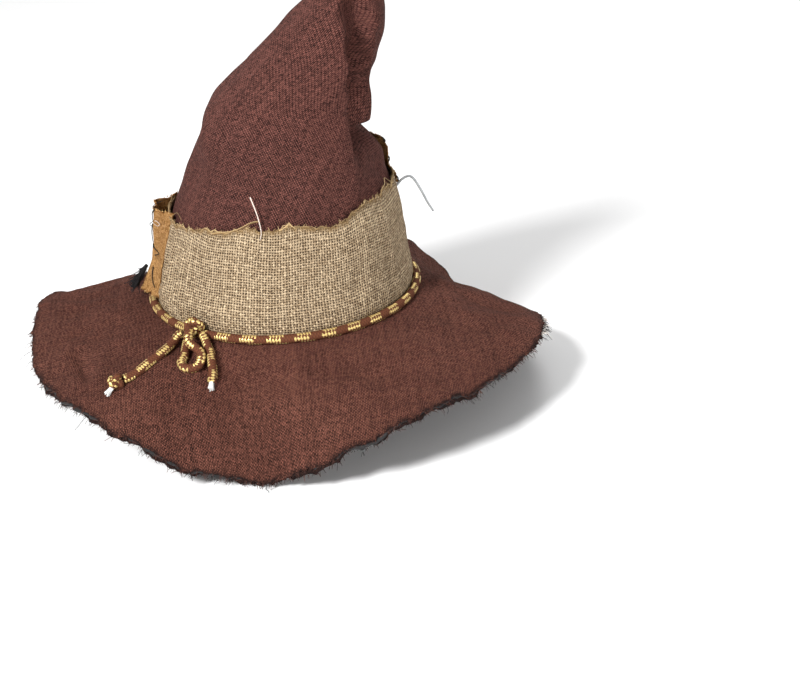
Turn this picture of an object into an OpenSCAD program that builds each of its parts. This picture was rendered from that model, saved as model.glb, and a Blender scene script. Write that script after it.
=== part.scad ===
// Slouched cloth witch hat with a linen band, a tied cord, sewn patches and a peak that flops.
// Origin: centre of the head opening, in the seam between crown and brim. +Z up, front at -Y.

/* [Head opening] */
// Inner diameter of the sweatband, which the head fills
head_d = 182; // [150:1:220]
// Height of the sweatband ribbon
sweatband_h = 23; // [15:1:32]
// Thickness of the sweatband ribbon
sweatband_t = 1; // [0.6:0.1:1.6]

/* [Crown] */
// Height of the crown above the brim seam
crown_h = 279; // [230:1:340]
// How far the tip leans to the right of the head opening
tip_lean = 94; // [60:1:115]
// Room for the turned seam between the sweatband and the crown's outside
seam_room = 6; // [5:0.5:9]
// Thickness of the crown cloth
cloth_t = 1.2; // [0.8:0.1:1.6]
// Thickness of the stiff backing behind the cloth
backing_t = 0.8; // [0.5:0.1:1.2]
// Gap between layers that lie on each other
layer_gap = 0.2; // [0.1:0.05:0.4]

/* [Fold] */
// Height of the fold that the peak flops about
fold_h = 127; // [112:1:150]
// Angle that the peak swings each way
fold_swing = 20; // [10:1:22]
// Clearance between the neck and the inside of the peak
fold_gap = 0.8; // [0.5:0.1:1.5]

/* [Brim] */
// Width of the brim cloth from the crown to its raw edge
brim_w = 107; // [88:1:130]
// Thickness of each brim cloth
brim_t = 1; // [0.8:0.1:1.4]
// How far the brim droops at its three low points, where it stands
brim_droop = 69; // [45:1:80]
// How far the brim droops between its low points
brim_level = 21; // [12:1:28]
// How much the left side is turned up
brim_turn_up = 13; // [0:1:18]

/* [Hat band] */
// Height of the linen band at the front
band_h = 72; // [55:1:84]
// How much higher the band reaches on its right
band_rise = 14; // [0:1:18]
// Thickness of the linen
band_t = 1.2; // [0.8:0.1:1.6]

/* [Cord] */
// Diameter of the braided cord
cord_d = 6.5; // [5:0.1:7]
// Diameter of the main knot
knot_d = 17; // [15:0.5:18]
// Diameter of the stopper knot on the left tail
stopper_d = 13; // [11:0.5:14]
// Diameter of the white core that shows at the cord's cut ends
core_d = 4; // [3:0.1:4.5]

/* [Patches] */
// Thickness of the patch cloth
patch_t = 0.8; // [0.6:0.1:1.2]
// Height of the left patch
patch_left_h = 66; // [55:1:90]
// How far the loose fold of the left patch stands out at its top
patch_puff = 13; // [6:1:15]
// Height of the right patch
patch_right_h = 40; // [30:1:44]
// Diameter of the black sewing thread
thread_d = 1.4; // [1:0.1:1.8]

/* [Inside label] */
// Width of the blank care label
label_w = 26; // [20:1:32]
// Height of the blank care label
label_h = 34; // [25:1:40]
// Thickness of the label ribbon
label_t = 0.4; // [0.3:0.1:0.6]

/* [Hidden] */

sides = 48;                                    // facets round the crown
brim_sides = 72;                               // facets round the brim
base_r = head_d / 2 + sweatband_t + seam_room; // outside of the crown at the seam
knot_angle = 229.6;
low_points = [[258, 22], [25, 28], [128, 25]]; // direction and spread of each low point
turned_up = [165, 24];                         // direction and spread of the turned-up side

// Crown sections: share of its height, of its lean and of its base radius
sections = [[0, 0, 1], [0.09, 0.005, 0.965], [0.25, 0.05, 0.87], [0.34, 0.07, 0.775],
            [0.455, 0.12, 0.64], [0.55, 0.16, 0.6], [0.63, 0.33, 0.53], [0.7, 0.48, 0.44],
            [0.76, 0.575, 0.36], [0.8, 0.635, 0.29], [0.86, 0.745, 0.21],
            [0.925, 0.86, 0.12], [0.975, 0.955, 0.055], [1, 1, 0.015]];

// Smooth reading of one column of the sections, with a slope taken from the neighbours
function row(h, i = 0) = i >= len(sections) - 2 || h <= sections[i + 1][0] ? i : row(h, i + 1);
function slope(i, c) =
    let (a = max(i - 1, 0), b = min(i + 1, len(sections) - 1))
    (sections[b][c] - sections[a][c]) / (sections[b][0] - sections[a][0]);
function section(h, c) =
    let (i = row(h), w = sections[i + 1][0] - sections[i][0], t = (h - sections[i][0]) / w)
    (2 * pow(t, 3) - 3 * t * t + 1) * sections[i][c] + (pow(t, 3) - 2 * t * t + t) * w * slope(i, c)
    + (3 * t * t - 2 * pow(t, 3)) * sections[i + 1][c] + (pow(t, 3) - t * t) * w * slope(i + 1, c);
function lean(z) = tip_lean * section(z / crown_h, 1);
function radius(z) = base_r * section(z / crown_h, 2);

// The fold: the neck is part of a ball about the hinge, and the peak's rim hangs outside it
hinge = [lean(fold_h), 0, fold_h];
rim_tuck = 1.5;                                // how far the rim is drawn in
rim_drop = 1;                                  // how far the rim hangs below the hinge
rim_r = radius(fold_h) - rim_tuck;
neck_r = rim_r - cloth_t - fold_gap;
neck_spare_angle = 4;                          // neck that stays hidden at full swing
neck_top_angle = fold_swing + neck_spare_angle;
swing_clear = 3;                               // shoulder's clearance below the swung rim
neck_low = fold_h - rim_drop - rim_r * sin(fold_swing) - swing_clear;
shoulder_drop = 8;                             // shoulder seam below the foot of the neck
shoulder_h = neck_low - shoulder_drop;
function ball_r(r, z) = sqrt(max(0, r * r - pow(z - fold_h, 2)));

// Brim surface: how far it droops in each direction, and its height at any place
function turn(a, b) = (a - b + 540) % 360 - 180;
function bump(a, spot) = exp(-pow(turn(a, spot[0]) / spot[1], 2));
function droop(a) =
    brim_level - brim_turn_up * bump(a, turned_up)
    + (brim_droop - brim_level) * max([for (spot = low_points) bump(a, spot)]);
function reach(a) = sqrt(brim_w * brim_w - pow(droop(a), 2));
function brim_fall(a, s) = droop(a) * pow(max(s, 0), 1.3);
function brim_z(x, y) =
    let (a = atan2(y, x), s = (norm([x, y]) - base_r) / reach(a)) -brim_fall(a, s);

// Ring of points round the crown
function ring(z, c, r, n = sides) = [for (i = [0:n - 1]) [c + r * cos(360 * i / n), r * sin(360 * i / n), z]];
// Two triangles across a four-sided patch, cut along the one diagonal or the other
function cut(a, b, c, d, other) = other ? [[a, b, d], [b, c, d]] : [[a, b, c], [a, c, d]];
// Skin through a list of rings: the way back is cut like the way out, so a wall keeps its thickness
module skin(rings, closed) {
    n = len(rings[0]);
    m = len(rings);
    last = closed ? m - 1 : m - 2;
    walls = [for (i = [0:last], j = [0:n - 1])
        let (a = i * n, b = ((i + 1) % m) * n, k = (j + 1) % n)
        each cut(a + j, a + k, b + k, b + j, i >= m / 2)];
    caps = closed ? [] : [[for (j = [n - 1:-1:0]) j], [for (j = [0:n - 1]) (m - 1) * n + j]];
    polyhedron(points = [for (r = rings) each r], faces = concat(walls, caps), convexity = 8);
}
// Plate between an outer and an inner surface given on the same grid
module plate(outer, inner) {
    m = len(outer);
    cols = len(outer[0]);
    n = 2 * cols;
    loops = [for (i = [0:m - 1]) concat(outer[i], [for (j = [cols - 1:-1:0]) inner[i][j]])];
    walls = [for (i = [0:m - 2], j = [0:n - 1])
        let (a = i * n, b = a + n, k = (j + 1) % n)
        each cut(a + j, a + k, b + k, b + j, j >= cols)];
    foot = [for (j = [0:cols - 2]) each cut(j + 1, j, n - 1 - j, n - 2 - j, false)];
    head = [for (j = [0:cols - 2])
        let (a = (m - 1) * n)
        each cut(a + j, a + j + 1, a + n - 2 - j, a + n - 1 - j, false)];
    polyhedron(points = [for (l = loops) each l], faces = concat(walls, foot, head), convexity = 8);
}

// Tube swept along a route, with a radius at every point
function unit(v) = v / norm(v);
function route_dir(p, i) = unit(p[min(i + 1, len(p) - 1)] - p[max(i - 1, 0)]);
module tube(p, r) {
    n = 8;
    skin([for (i = [0:len(p) - 1])
        let (t = route_dir(p, i), u = unit(cross(t, [0, 0, 1])), v = cross(u, t))
        [for (k = [0:n - 1]) p[i] + (is_list(r) ? r[i] : r) * (u * cos(45 * k) + v * sin(45 * k))]],
        false);
}
// Two extra points in each stretch of a route, on a smooth curve through the chosen ones
function smooth(p) = [for (i = [0:len(p) - 2], k = [0:2])
    let (a = p[max(i - 1, 0)], b = p[i], c = p[i + 1], d = p[min(i + 2, len(p) - 1)], t = k / 3)
    0.5 * (2 * b + (c - a) * t + (2 * a - 5 * b + 4 * c - d) * t * t
           + (3 * b - a - 3 * c + d) * pow(t, 3))];
function route(p) = concat(smooth(p), [p[len(p) - 1]]);

module rod(a, b, d) {
    v = b - a;
    translate(a)
        rotate([0, acos(v[2] / norm(v)), atan2(v[1], v[0])])
            cylinder(h = norm(v), d = d, $fn = 16);
}

// ---- Head opening ----
module sweatband() {
    color("#2b211d")
        translate([0, 0, -3])
            difference() {
                cylinder(h = sweatband_h, d = head_d + 2 * sweatband_t, $fn = 180);
                translate([0, 0, -1])
                    cylinder(h = sweatband_h + 2, d = head_d, $fn = 180);
            }
}
module care_label() {
    lean_in = atan2(radius(0) - radius(60), 60);
    foot = sweatband_h - 2;
    color("white")
        translate([lean(foot) - label_w / 2, radius(foot) - cloth_t - backing_t - 3.2, foot])
            rotate([lean_in, 0, 0])
                cube([label_w, label_t, label_h]);
}

// ---- Crown ----
crown_rows = 11;
crown_steps = [for (k = [0:crown_rows]) shoulder_h * k / crown_rows];
neck_rows = 6;
neck_top = fold_h + neck_r * sin(neck_top_angle);
neck_steps = [for (k = [0:neck_rows]) neck_low + (neck_top - neck_low) * k / neck_rows];
function neck_rings(r) = [for (z = neck_steps) ring(z, hinge[0], ball_r(r, z))];
module crown_lower() {
    color("#5c4033")
        skin(concat([for (z = crown_steps) ring(z, lean(z), radius(z))],
            [for (k = [crown_rows:-1:0])
                ring(crown_steps[k], lean(crown_steps[k]), radius(crown_steps[k]) - cloth_t)]), true);
}
module fold_neck() {
    seam = shoulder_h + layer_gap;
    bulge = shoulder_h + shoulder_drop / 2;
    bulge_r = radius(bulge) * 0.95;
    seam_rings = [ring(seam, lean(seam), radius(seam)), ring(bulge, lean(bulge), bulge_r)];
    under_rings = [ring(bulge - cloth_t, lean(bulge), bulge_r - cloth_t),
        ring(seam, lean(seam), radius(seam) - cloth_t)];
    color("#5c4033")
        skin(concat(seam_rings, neck_rings(neck_r),
            [for (k = [neck_rows:-1:0])
                ring(neck_steps[k] - (k == 0 ? cloth_t : 0), hinge[0],
                    ball_r(neck_r - cloth_t, neck_steps[k]))],
            under_rings), true);
}
module crown_backing() {
    gap = cloth_t + layer_gap;
    steps = concat([brim_t], [for (k = [1:crown_rows - 1]) crown_steps[k]]);
    last = len(steps) - 1;
    color("#1f1b1a")
        skin(concat([for (z = steps) ring(z, lean(z), radius(z) - gap)],
            [for (k = [last:-1:0]) ring(steps[k], lean(steps[k]), radius(steps[k]) - gap - backing_t)]),
            true);
}
// The peak follows the crown's sections, and stays outside the neck's ball where it can meet it
peak_low = fold_h - rim_drop;
ball_top = fold_h + neck_r * sin(min(85, neck_top_angle + fold_swing));
function peak_r(z) =
    z > ball_top ? radius(z)
    : max(radius(z), abs(lean(z) - hinge[0]) + ball_r(rim_r, z));
function peak_rim(z) = z < fold_h + 1 ? max(rim_r, peak_r(z) - 1) : peak_r(z);
peak_rows = 15;
peak_steps = [for (k = [0:peak_rows]) peak_low + (crown_h - peak_low) * k / peak_rows];
module crown_peak() {
    hollow_to = peak_rows - 2;
    color("#5c4033")
        skin(concat(
            [for (k = [hollow_to:-1:0])
                ring(peak_steps[k], lean(peak_steps[k]), peak_rim(peak_steps[k]) - cloth_t)],
            [for (z = peak_steps) ring(z, lean(z), peak_rim(z))]), false);
}
module peak_backing() {
    gap = cloth_t + layer_gap;
    steps = [for (z = peak_steps) if (z > ball_top + backing_t && z < crown_h * 0.93) z];
    last = len(steps) - 1;
    color("#1f1b1a")
        skin(concat([for (z = steps) ring(z, lean(z), peak_r(z) - gap)],
            [for (k = [last:-1:0]) ring(steps[k], lean(steps[k]), peak_r(steps[k]) - gap - backing_t)]),
            true);
}

// ---- Brim ----
// One cloth of the brim: a flat strip under the crown's seam, then the drooping part
brim_inner = head_d / 2 + sweatband_t + 0.3;
brim_shares = [0, 0.2, 0.4, 0.6, 0.8, 1];
function brim_ring(s, z) = [for (i = [0:brim_sides - 1])
    let (a = 360 * i / brim_sides, r = base_r + s * reach(a))
    [r * cos(a), r * sin(a), z - brim_fall(a, s)]];
module brim_layer(top, thick) {
    upper = concat([ring(top, 0, brim_inner, brim_sides)], [for (s = brim_shares) brim_ring(s, top)]);
    lower = concat([ring(top - thick, 0, brim_inner, brim_sides)],
        [for (s = brim_shares) brim_ring(s, top - thick)]);
    skin(concat([for (k = [len(lower) - 1:-1:0]) lower[k]], upper), true);
}
module brim_top() {
    color("#5c4033") brim_layer(0, brim_t);
}
module brim_stiffener() {
    color("#1f1b1a") brim_layer(-brim_t - layer_gap, backing_t);
}
module brim_underside() {
    color("#3a2a24") brim_layer(-brim_t - backing_t - 2 * layer_gap, brim_t);
}

// ---- Hat band ----
band_off = layer_gap + band_t;
function band_top(a) = band_h + band_rise * (1 + cos(a - 352)) / 2;
function band_ring(share, off) = [for (i = [0:sides - 1])
    let (a = 360 * i / sides, z = 1 + (band_top(a) - 1) * share, r = radius(z) + off)
    [lean(z) + r * cos(a), r * sin(a), z]];
module hat_band() {
    rows = 9;
    color("#c2a97f")
        skin(concat([for (k = [0:rows]) band_ring(k / rows, band_off)],
            [for (k = [rows:-1:0]) band_ring(k / rows, layer_gap)]), true);
}

// ---- Cord ----
cord_r = cord_d / 2;
ring_gap = 0.3;                                // between the ring and the band
ring_lift = 0.1;                               // between the ring and the brim
ring_r = base_r + band_off + ring_gap + cord_r;
knot_clear = 0.85;                             // the knot sits just outside the ring
knot_lift = 0.5;                               // between the knots and the brim
knot_out = ring_r + cord_r + knot_clear;
knot_pos = [knot_out * cos(knot_angle), knot_out * sin(knot_angle), knot_d / 2 + knot_lift];
rest_gap = 0.95;                               // between a resting cord and the brim
cord_rest = cord_r + rest_gap;                 // middle of a resting cord above the brim's top
// Places along each free cord: across, forward of the knot, and height above where it would rest
tail_left_places = [[-15.5, -4.9, 0.2], [-22, -13, 0.3], [-31, -20.9, 0.2], [-40, -29, 0],
                    [-47, -34, 0.4], [-51, -36, 1.3]];
stopper_place = [-56, -39];
core_left_places = [[-59, -42.5, 1.3], [-63, -47, 0.4]];
tail_right_places = [[9.5, -16.5, 0.3], [11, -22, 0], [12, -30.9, 0.1], [12, -39, 0], [11, -44, 0]];
core_right_length = 6;
loop_places = [[-3.4, -15.2, 10.5], [-2.9, -19.1, 8.2], [4.7, -25.6, 3.9], [2, -32.4, 0.9],
               [-6.6, -32.6, 0.1], [-9.7, -27.6, 0.2], [-7.6, -21.9, 0.2], [-6.6, -16.9, 0]];
// Directions in which the cords leave the knot
tail_left_exit = [-8.1, -1.3, -3.3];
tail_right_exit = [5.1, -7, -2.8];
loop_exit = [-1.8, -7.4, 1.1];
loop_return = [-3.9, -6.6, -5.2];
function above_brim(p, up) =
    let (x = knot_pos[0] + p[0], y = knot_pos[1] + p[1]) [x, y, brim_z(x, y) + up];
function on_brim(p) = above_brim(p, cord_rest + p[2]);
knot_gap = 0.8;                                // between the knot and each cord that leaves it
function exit_point(v, out = knot_gap) = knot_pos + unit(v) * (knot_d / 2 + out);
// A cord leaves the knot straight for a short way
straight = 4.2;
function leave(v) = [exit_point(v), exit_point(v, straight)];
module cord_ring() {
    color("#4a2f22")
        translate([0, 0, cord_r + ring_lift])
            rotate_extrude($fn = 180)
                translate([ring_r, 0])
                    circle(r = cord_r, $fn = 32);
}
module cord_knot() {
    color("#4a2f22")
        translate(knot_pos)
            sphere(d = knot_d, $fn = 48);
}
module cord_tail_left() {
    color("#4a2f22")
        tube(route(concat(leave(tail_left_exit), [for (p = tail_left_places) on_brim(p)])), cord_r);
}
module stopper_knot() {
    color("#4a2f22")
        translate(above_brim(stopper_place, stopper_d / 2 + knot_lift))
            sphere(d = stopper_d, $fn = 48);
}
module core_left() {
    color("#e8e4da")
        rod(on_brim(core_left_places[0]), on_brim(core_left_places[1]), core_d);
}
module cord_tail_right() {
    color("#4a2f22")
        tube(route(concat(leave(tail_right_exit), [for (p = tail_right_places) on_brim(p)])), cord_r);
}
module core_right() {
    last = len(tail_right_places) - 1;
    end = on_brim(tail_right_places[last]);
    color("#e8e4da")
        rod(end, end + unit(end - on_brim(tail_right_places[last - 1])) * core_right_length, core_d);
}
module bow_loop() {
    color("#4a2f22")
        tube(route(concat(leave(loop_exit), [for (p = loop_places) on_brim(p)],
            [exit_point(loop_return, straight), exit_point(loop_return)])), cord_r);
}

// ---- Patches ----
patch_foot = 10;                               // height of the left patch's lower edge
patch_left_from = 200;                         // direction of the left patch's front edge
patch_left_span = 36;
stitch_lift = 0.9;                             // slack of the stitches above the patches
foot_puff = 11;                                // how far the left patch's foot stands out
puff_power = 1.2;                              // how squarely the fold stands out
// Left patch: its front and back edges lie on the band, and a loose fold stands out between them
function left_patch(u, v, off) =
    let (a = patch_left_from - patch_left_span * u, z = patch_foot + patch_left_h * v,
         puff = pow(sin(180 * u), puff_power) * (patch_puff * v * v + foot_puff * pow(1 - v, 3)),
         r = radius(z) + band_off + layer_gap + off + puff)
    [lean(z) + r * cos(a), r * sin(a), z];
module patch_left() {
    grid = [0:1/6:1.001];
    color("#c58f45")
        plate([for (v = grid) [for (u = grid) left_patch(u, v, patch_t)]],
            [for (v = grid) [for (u = grid) left_patch(u, v, 0)]]);
}
// The tuft starts clear of the patch and stands out more towards its end
tuft_clear = 2.6;
tuft_rise = 1.1;
tuft_radii = [1.2, 1.8, 2.2, 2.4, 1.6];
module black_tuft() {
    color("#111111")
        tube([for (k = [0:4]) left_patch(0.42 + 0.02 * k, 0.29 - 0.07 * k, patch_t + tuft_clear + tuft_rise * k)],
            tuft_radii);
}
module stitches_left() {
    lift = patch_t + thread_d / 2 + stitch_lift;
    ends = [[[0.3, 1], [0.42, 0.82]], [[0.4, 0.8], [0.38, 0.58]], [[0.37, 0.56], [0.2, 0.48]],
            [[0.44, 0.55], [0.5, 0.36]], [[0.3, 0.3], [0.12, 0.1]]];
    color("#161312")
        for (e = ends)
            rod(left_patch(e[0][0], e[0][1], lift), left_patch(e[1][0], e[1][1], lift), thread_d);
}
// Right patch: a strip that laps over the top of the band and runs up towards the fold
patch_lap = 12;
patch_right_from = 8;                          // direction of the right patch's front edge
patch_right_span = 34;
function right_patch(u, v, off) =
    let (a = patch_right_from + patch_right_span * u, z = band_top(a) - patch_lap + patch_right_h * v,
         r = radius(z) + band_off + layer_gap + off)
    [lean(z) + r * cos(a), r * sin(a), z];
module patch_right() {
    grid = [0:1/5:1.001];
    color("#c58f45")
        plate([for (v = grid) [for (u = grid) right_patch(u, v, patch_t)]],
            [for (v = grid) [for (u = grid) right_patch(u, v, 0)]]);
}
module stitches_right() {
    lift = patch_t + thread_d / 2 + stitch_lift;
    color("#161312")
        for (v = [0.1, 0.5, 0.9])
            rod(right_patch(-0.08, v, lift), right_patch(0.12, v + 0.06, lift), thread_d);
}

// ---- Tag fastener ----
tag_places = [[2, 0, 1], [6, 0, 5], [11, 0, 7], [15, 0, 4], [20, 0, -5], [25, 0, -16], [29, 0, -23]];
tag_radii = [0.6, 0.6, 0.6, 0.7, 1, 1.3, 1.5];
tag_drop = 10;                                 // its hole below the band's top
module tag_fastener() {
    foot_z = band_top(0) - tag_drop;
    foot = [lean(foot_z) + radius(foot_z) + band_off, 0, foot_z];
    color("#e9ecec")
        tube([for (p = tag_places) foot + p], tag_radii);
}

sweatband();
crown_lower();
fold_neck();
crown_backing();
crown_peak();
peak_backing();
brim_top();
brim_stiffener();
brim_underside();
hat_band();
cord_ring();
cord_knot();
cord_tail_left();
stopper_knot();
core_left();
bow_loop();
cord_tail_right();
core_right();
patch_left();
black_tuft();
stitches_left();
patch_right();
stitches_right();
tag_fastener();
care_label();
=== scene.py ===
"""Slouched cloth witch hat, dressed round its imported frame.

Shapes are worked out in millimetres and degrees, and turned into metres when a mesh is made.
The front of the hat is at -Y, angle 0 is its right (+X), and the origin is the head opening.
"""
import math

import bpy
import numpy as np
from mathutils import Matrix, Vector


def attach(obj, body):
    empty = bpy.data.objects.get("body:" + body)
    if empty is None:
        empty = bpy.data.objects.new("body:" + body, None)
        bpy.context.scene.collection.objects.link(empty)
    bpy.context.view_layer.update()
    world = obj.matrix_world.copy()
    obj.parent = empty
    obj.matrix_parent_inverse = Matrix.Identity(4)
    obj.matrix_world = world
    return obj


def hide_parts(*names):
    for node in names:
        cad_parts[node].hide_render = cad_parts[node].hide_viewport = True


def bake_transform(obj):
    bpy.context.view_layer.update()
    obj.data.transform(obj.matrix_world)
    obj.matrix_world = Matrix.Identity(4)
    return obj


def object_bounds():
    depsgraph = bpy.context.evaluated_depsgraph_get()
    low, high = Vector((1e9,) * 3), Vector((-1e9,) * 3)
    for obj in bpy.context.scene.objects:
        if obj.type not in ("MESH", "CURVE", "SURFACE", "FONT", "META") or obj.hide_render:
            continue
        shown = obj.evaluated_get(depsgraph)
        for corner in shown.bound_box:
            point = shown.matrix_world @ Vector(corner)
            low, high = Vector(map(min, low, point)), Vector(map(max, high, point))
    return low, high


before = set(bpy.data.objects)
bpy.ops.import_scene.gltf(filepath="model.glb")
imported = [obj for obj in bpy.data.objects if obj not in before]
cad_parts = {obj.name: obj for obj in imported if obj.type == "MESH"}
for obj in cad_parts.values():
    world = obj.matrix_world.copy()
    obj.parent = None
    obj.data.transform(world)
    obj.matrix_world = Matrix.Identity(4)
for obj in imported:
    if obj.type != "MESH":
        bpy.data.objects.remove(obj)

cad_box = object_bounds()
MM = 0.001

# ---------------------------------------------------------------- sizes, as in the frame
HEAD_R = 91.0
BASE_R = 98.0
CROWN_H = 279.0
TIP_LEAN = 94.0
FOLD_H = 127.0
BRIM_W = 107.0
BRIM_DROOP = 69.0
BRIM_LEVEL = 21.0
BRIM_TURN_UP = 13.0
CLOTH_T = 1.2
BRIM_T = 1.0
BACKING_T = 0.8
LAYER_GAP = 0.2
BAND_H = 72.0
BAND_RISE = 14.0
BAND_T = 1.2
BAND_OFF = LAYER_GAP + BAND_T
CORD_D = 6.5
CORD_R = CORD_D / 2
KNOT_D = 17.0
STOPPER_D = 13.0
PATCH_T = 0.8
PATCH_LAP = 12.0
RING_GAP = 0.3         # between the ring and the band
RING_LIFT = 0.1        # between the ring and the brim
KNOT_CLEAR = 0.85      # the knot sits just outside the ring
KNOT_LIFT = 0.5        # between the knots and the brim
REST_GAP = 0.95        # between a resting cord and the brim
RING_R = BASE_R + BAND_OFF + RING_GAP + CORD_R
KNOT_ANGLE = 229.6
LOW_POINTS = ((258, 22), (25, 28), (128, 25))
TURNED_UP = (165, 24)
SEAM_ANGLE = 90.0
FLOOR_Z = cad_box[0][2]
SECTIONS = np.array([
    (0, 0, 1), (0.09, 0.005, 0.965), (0.25, 0.05, 0.87), (0.34, 0.07, 0.775),
    (0.455, 0.12, 0.64), (0.55, 0.16, 0.6), (0.63, 0.33, 0.53), (0.7, 0.48, 0.44),
    (0.76, 0.575, 0.36), (0.8, 0.635, 0.29), (0.86, 0.745, 0.21),
    (0.925, 0.86, 0.12), (0.975, 0.955, 0.055), (1, 1, 0.015)])


# ---------------------------------------------------------------- reading the hat's shape
def read_section(share, column):
    """One column of the crown's sections, read smoothly at each share of its height."""
    x, y = SECTIONS[:, 0], SECTIONS[:, column]
    last = len(x) - 1
    slopes = np.array([(y[min(i + 1, last)] - y[max(i - 1, 0)]) / (x[min(i + 1, last)] - x[max(i - 1, 0)])
                       for i in range(len(x))])
    share = np.asarray(share, float)
    i = np.clip(np.searchsorted(x, share, "right") - 1, 0, last - 1)
    w = x[i + 1] - x[i]
    t = (share - x[i]) / w
    return ((2 * t**3 - 3 * t**2 + 1) * y[i] + (t**3 - 2 * t**2 + t) * w * slopes[i]
            + (3 * t**2 - 2 * t**3) * y[i + 1] + (t**3 - t**2) * w * slopes[i + 1])


def lean(z):
    return TIP_LEAN * read_section(np.asarray(z) / CROWN_H, 1)


def radius(z):
    return BASE_R * read_section(np.asarray(z) / CROWN_H, 2)


def turn(a, b):
    return (np.asarray(a) - b + 540) % 360 - 180


def hill(x, middle, spread):
    return np.exp(-((np.asarray(x) - middle) / spread) ** 2)


def hill_at(a, angle, spread):
    return np.exp(-(turn(a, angle) / spread) ** 2)


def ease(x, low, high):
    """0 below low, 1 above high and smooth between."""
    t = np.clip((np.asarray(x, float) - low) / (high - low), 0, 1)
    return t * t * (3 - 2 * t)


def along(table, x):
    """A value that changes smoothly through the (place, value) pairs of a table."""
    table = np.array(table, float)
    x = np.asarray(x, float)
    i = np.clip(np.searchsorted(table[:, 0], x) - 1, 0, len(table) - 2)
    t = np.clip((x - table[i, 0]) / (table[i + 1, 0] - table[i, 0]), 0, 1)
    return table[i, 1] + (table[i + 1, 1] - table[i, 1]) * t * t * (3 - 2 * t)


def ripple(points, seed, count, shortest, longest, size):
    """Soft uneven swelling of cloth at 3-D points: many small waves in all directions."""
    rng = np.random.RandomState(seed)
    total = 0
    for _ in range(count):
        direction = rng.normal(size=3)
        direction /= np.linalg.norm(direction)
        length = shortest * (longest / shortest) ** rng.rand()
        total = total + np.cos(points @ direction * 2 * math.pi / length + rng.rand() * 7) * length / longest
    return total * size / math.sqrt(count)


def crease(x, y, start, end, width, depth):
    """A crease pressed along a line on the cloth, fading at its ends; a negative depth is a ridge."""
    (x0, y0), (x1, y1) = start, end
    length = math.hypot(x1 - x0, y1 - y0)
    t = ((x - x0) * (x1 - x0) + (y - y0) * (y1 - y0)) / length**2
    off = ((x - x0) * (y1 - y0) - (y - y0) * (x1 - x0)) / length
    fade = np.clip(1 - (2 * np.abs(t - 0.5)) ** 3, 0, 1)
    return -depth * np.exp(-(off / width) ** 2) * fade


def droop(a):
    low = np.max([hill_at(a, *spot) for spot in LOW_POINTS], axis=0)
    return BRIM_LEVEL - BRIM_TURN_UP * hill_at(a, *TURNED_UP) + (BRIM_DROOP - BRIM_LEVEL) * low


def reach(a):
    return np.sqrt(BRIM_W**2 - droop(a) ** 2)


def brim_z(x, y):
    a = np.degrees(math.atan2(y, x))
    s = max((math.hypot(x, y) - BASE_R) / reach(a), 0)
    return float(-droop(a) * s**1.3)


def unit(v):
    v = np.asarray(v, float)
    return v / np.linalg.norm(v, axis=-1, keepdims=True)


def from_polar(r, a, z, centre=0):
    a = np.radians(a)
    return np.stack([centre + r * np.cos(a), r * np.sin(a), z + 0 * a], -1)


def pushed(place, a, amount):
    """Points moved straight out from the hat's axis by an amount in mm."""
    return place + np.asarray(amount)[..., None] * from_polar(1, a, 0 * np.asarray(a))


# ---------------------------------------------------------------- making meshes
def make_mesh(name, points, faces, body, finish, notes=None, smooth=True):
    """One named piece from points in millimetres. notes are values kept at its points."""
    mesh = bpy.data.meshes.new(name)
    places = np.asarray(points, float).reshape(-1, 3) * MM
    mesh.from_pydata(places.tolist(), [], [list(map(int, f)) for f in faces])
    for key, values in (notes or {}).items():
        values = np.asarray(values, np.float32)
        kind, field = ("FLOAT_VECTOR", "vector") if values.ndim > 1 else ("FLOAT", "value")
        mesh.attributes.new(key, kind, "POINT").data.foreach_set(field, values.ravel())
    mesh.update()
    mesh.polygons.foreach_set("use_smooth", [smooth] * len(mesh.polygons))
    piece = bpy.data.objects.new(name, mesh)
    bpy.context.scene.collection.objects.link(piece)
    piece.data.materials.append(finish)
    if body:
        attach(piece, body)
    return piece


def grid_faces(rows, columns, closed=False):
    """Faces of a grid of points; closed joins the last column to the first."""
    across = np.arange(columns if closed else columns - 1)
    i, j = np.meshgrid(np.arange(rows - 1) * columns, across, indexing="ij")
    k = (j + 1) % columns
    corners = [i + j, i + k, i + columns + k, i + columns + j]
    return np.stack(corners, -1).reshape(-1, 4)


def thicken(piece, thickness, offset=0.0):
    """Gives a sheet its cloth thickness."""
    layer = piece.modifiers.new("cloth thickness", "SOLIDIFY")
    layer.thickness = thickness * MM
    layer.offset = offset
    return piece


def smooth_route(places, steps):
    """The chosen points of a route and a smooth curve through them."""
    p = np.array(places, float)
    out = []
    for i in range(len(p) - 1):
        a, b, c, d = p[max(i - 1, 0)], p[i], p[i + 1], p[min(i + 2, len(p) - 1)]
        for k in range(steps):
            t = k / steps
            out.append(0.5 * (2 * b + (c - a) * t + (2 * a - 5 * b + 4 * c - d) * t * t
                              + (3 * b - a - 3 * c + d) * t**3))
    return np.array(out + [p[-1]])


def even_route(points, step, closed=False):
    """The same route with points about step apart, and how far along each one is."""
    p = np.vstack([points, points[:1]]) if closed else np.asarray(points)
    far = np.concatenate([[0], np.cumsum(np.linalg.norm(np.diff(p, axis=0), axis=1))])
    n = max(int(round(far[-1] / step)), 2)
    s = np.linspace(0, far[-1], n + 1)
    even = np.stack([np.interp(s, far, p[:, k]) for k in range(3)], 1)
    return (even[:-1], s[:-1], far[-1]) if closed else (even, s, far[-1])


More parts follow.
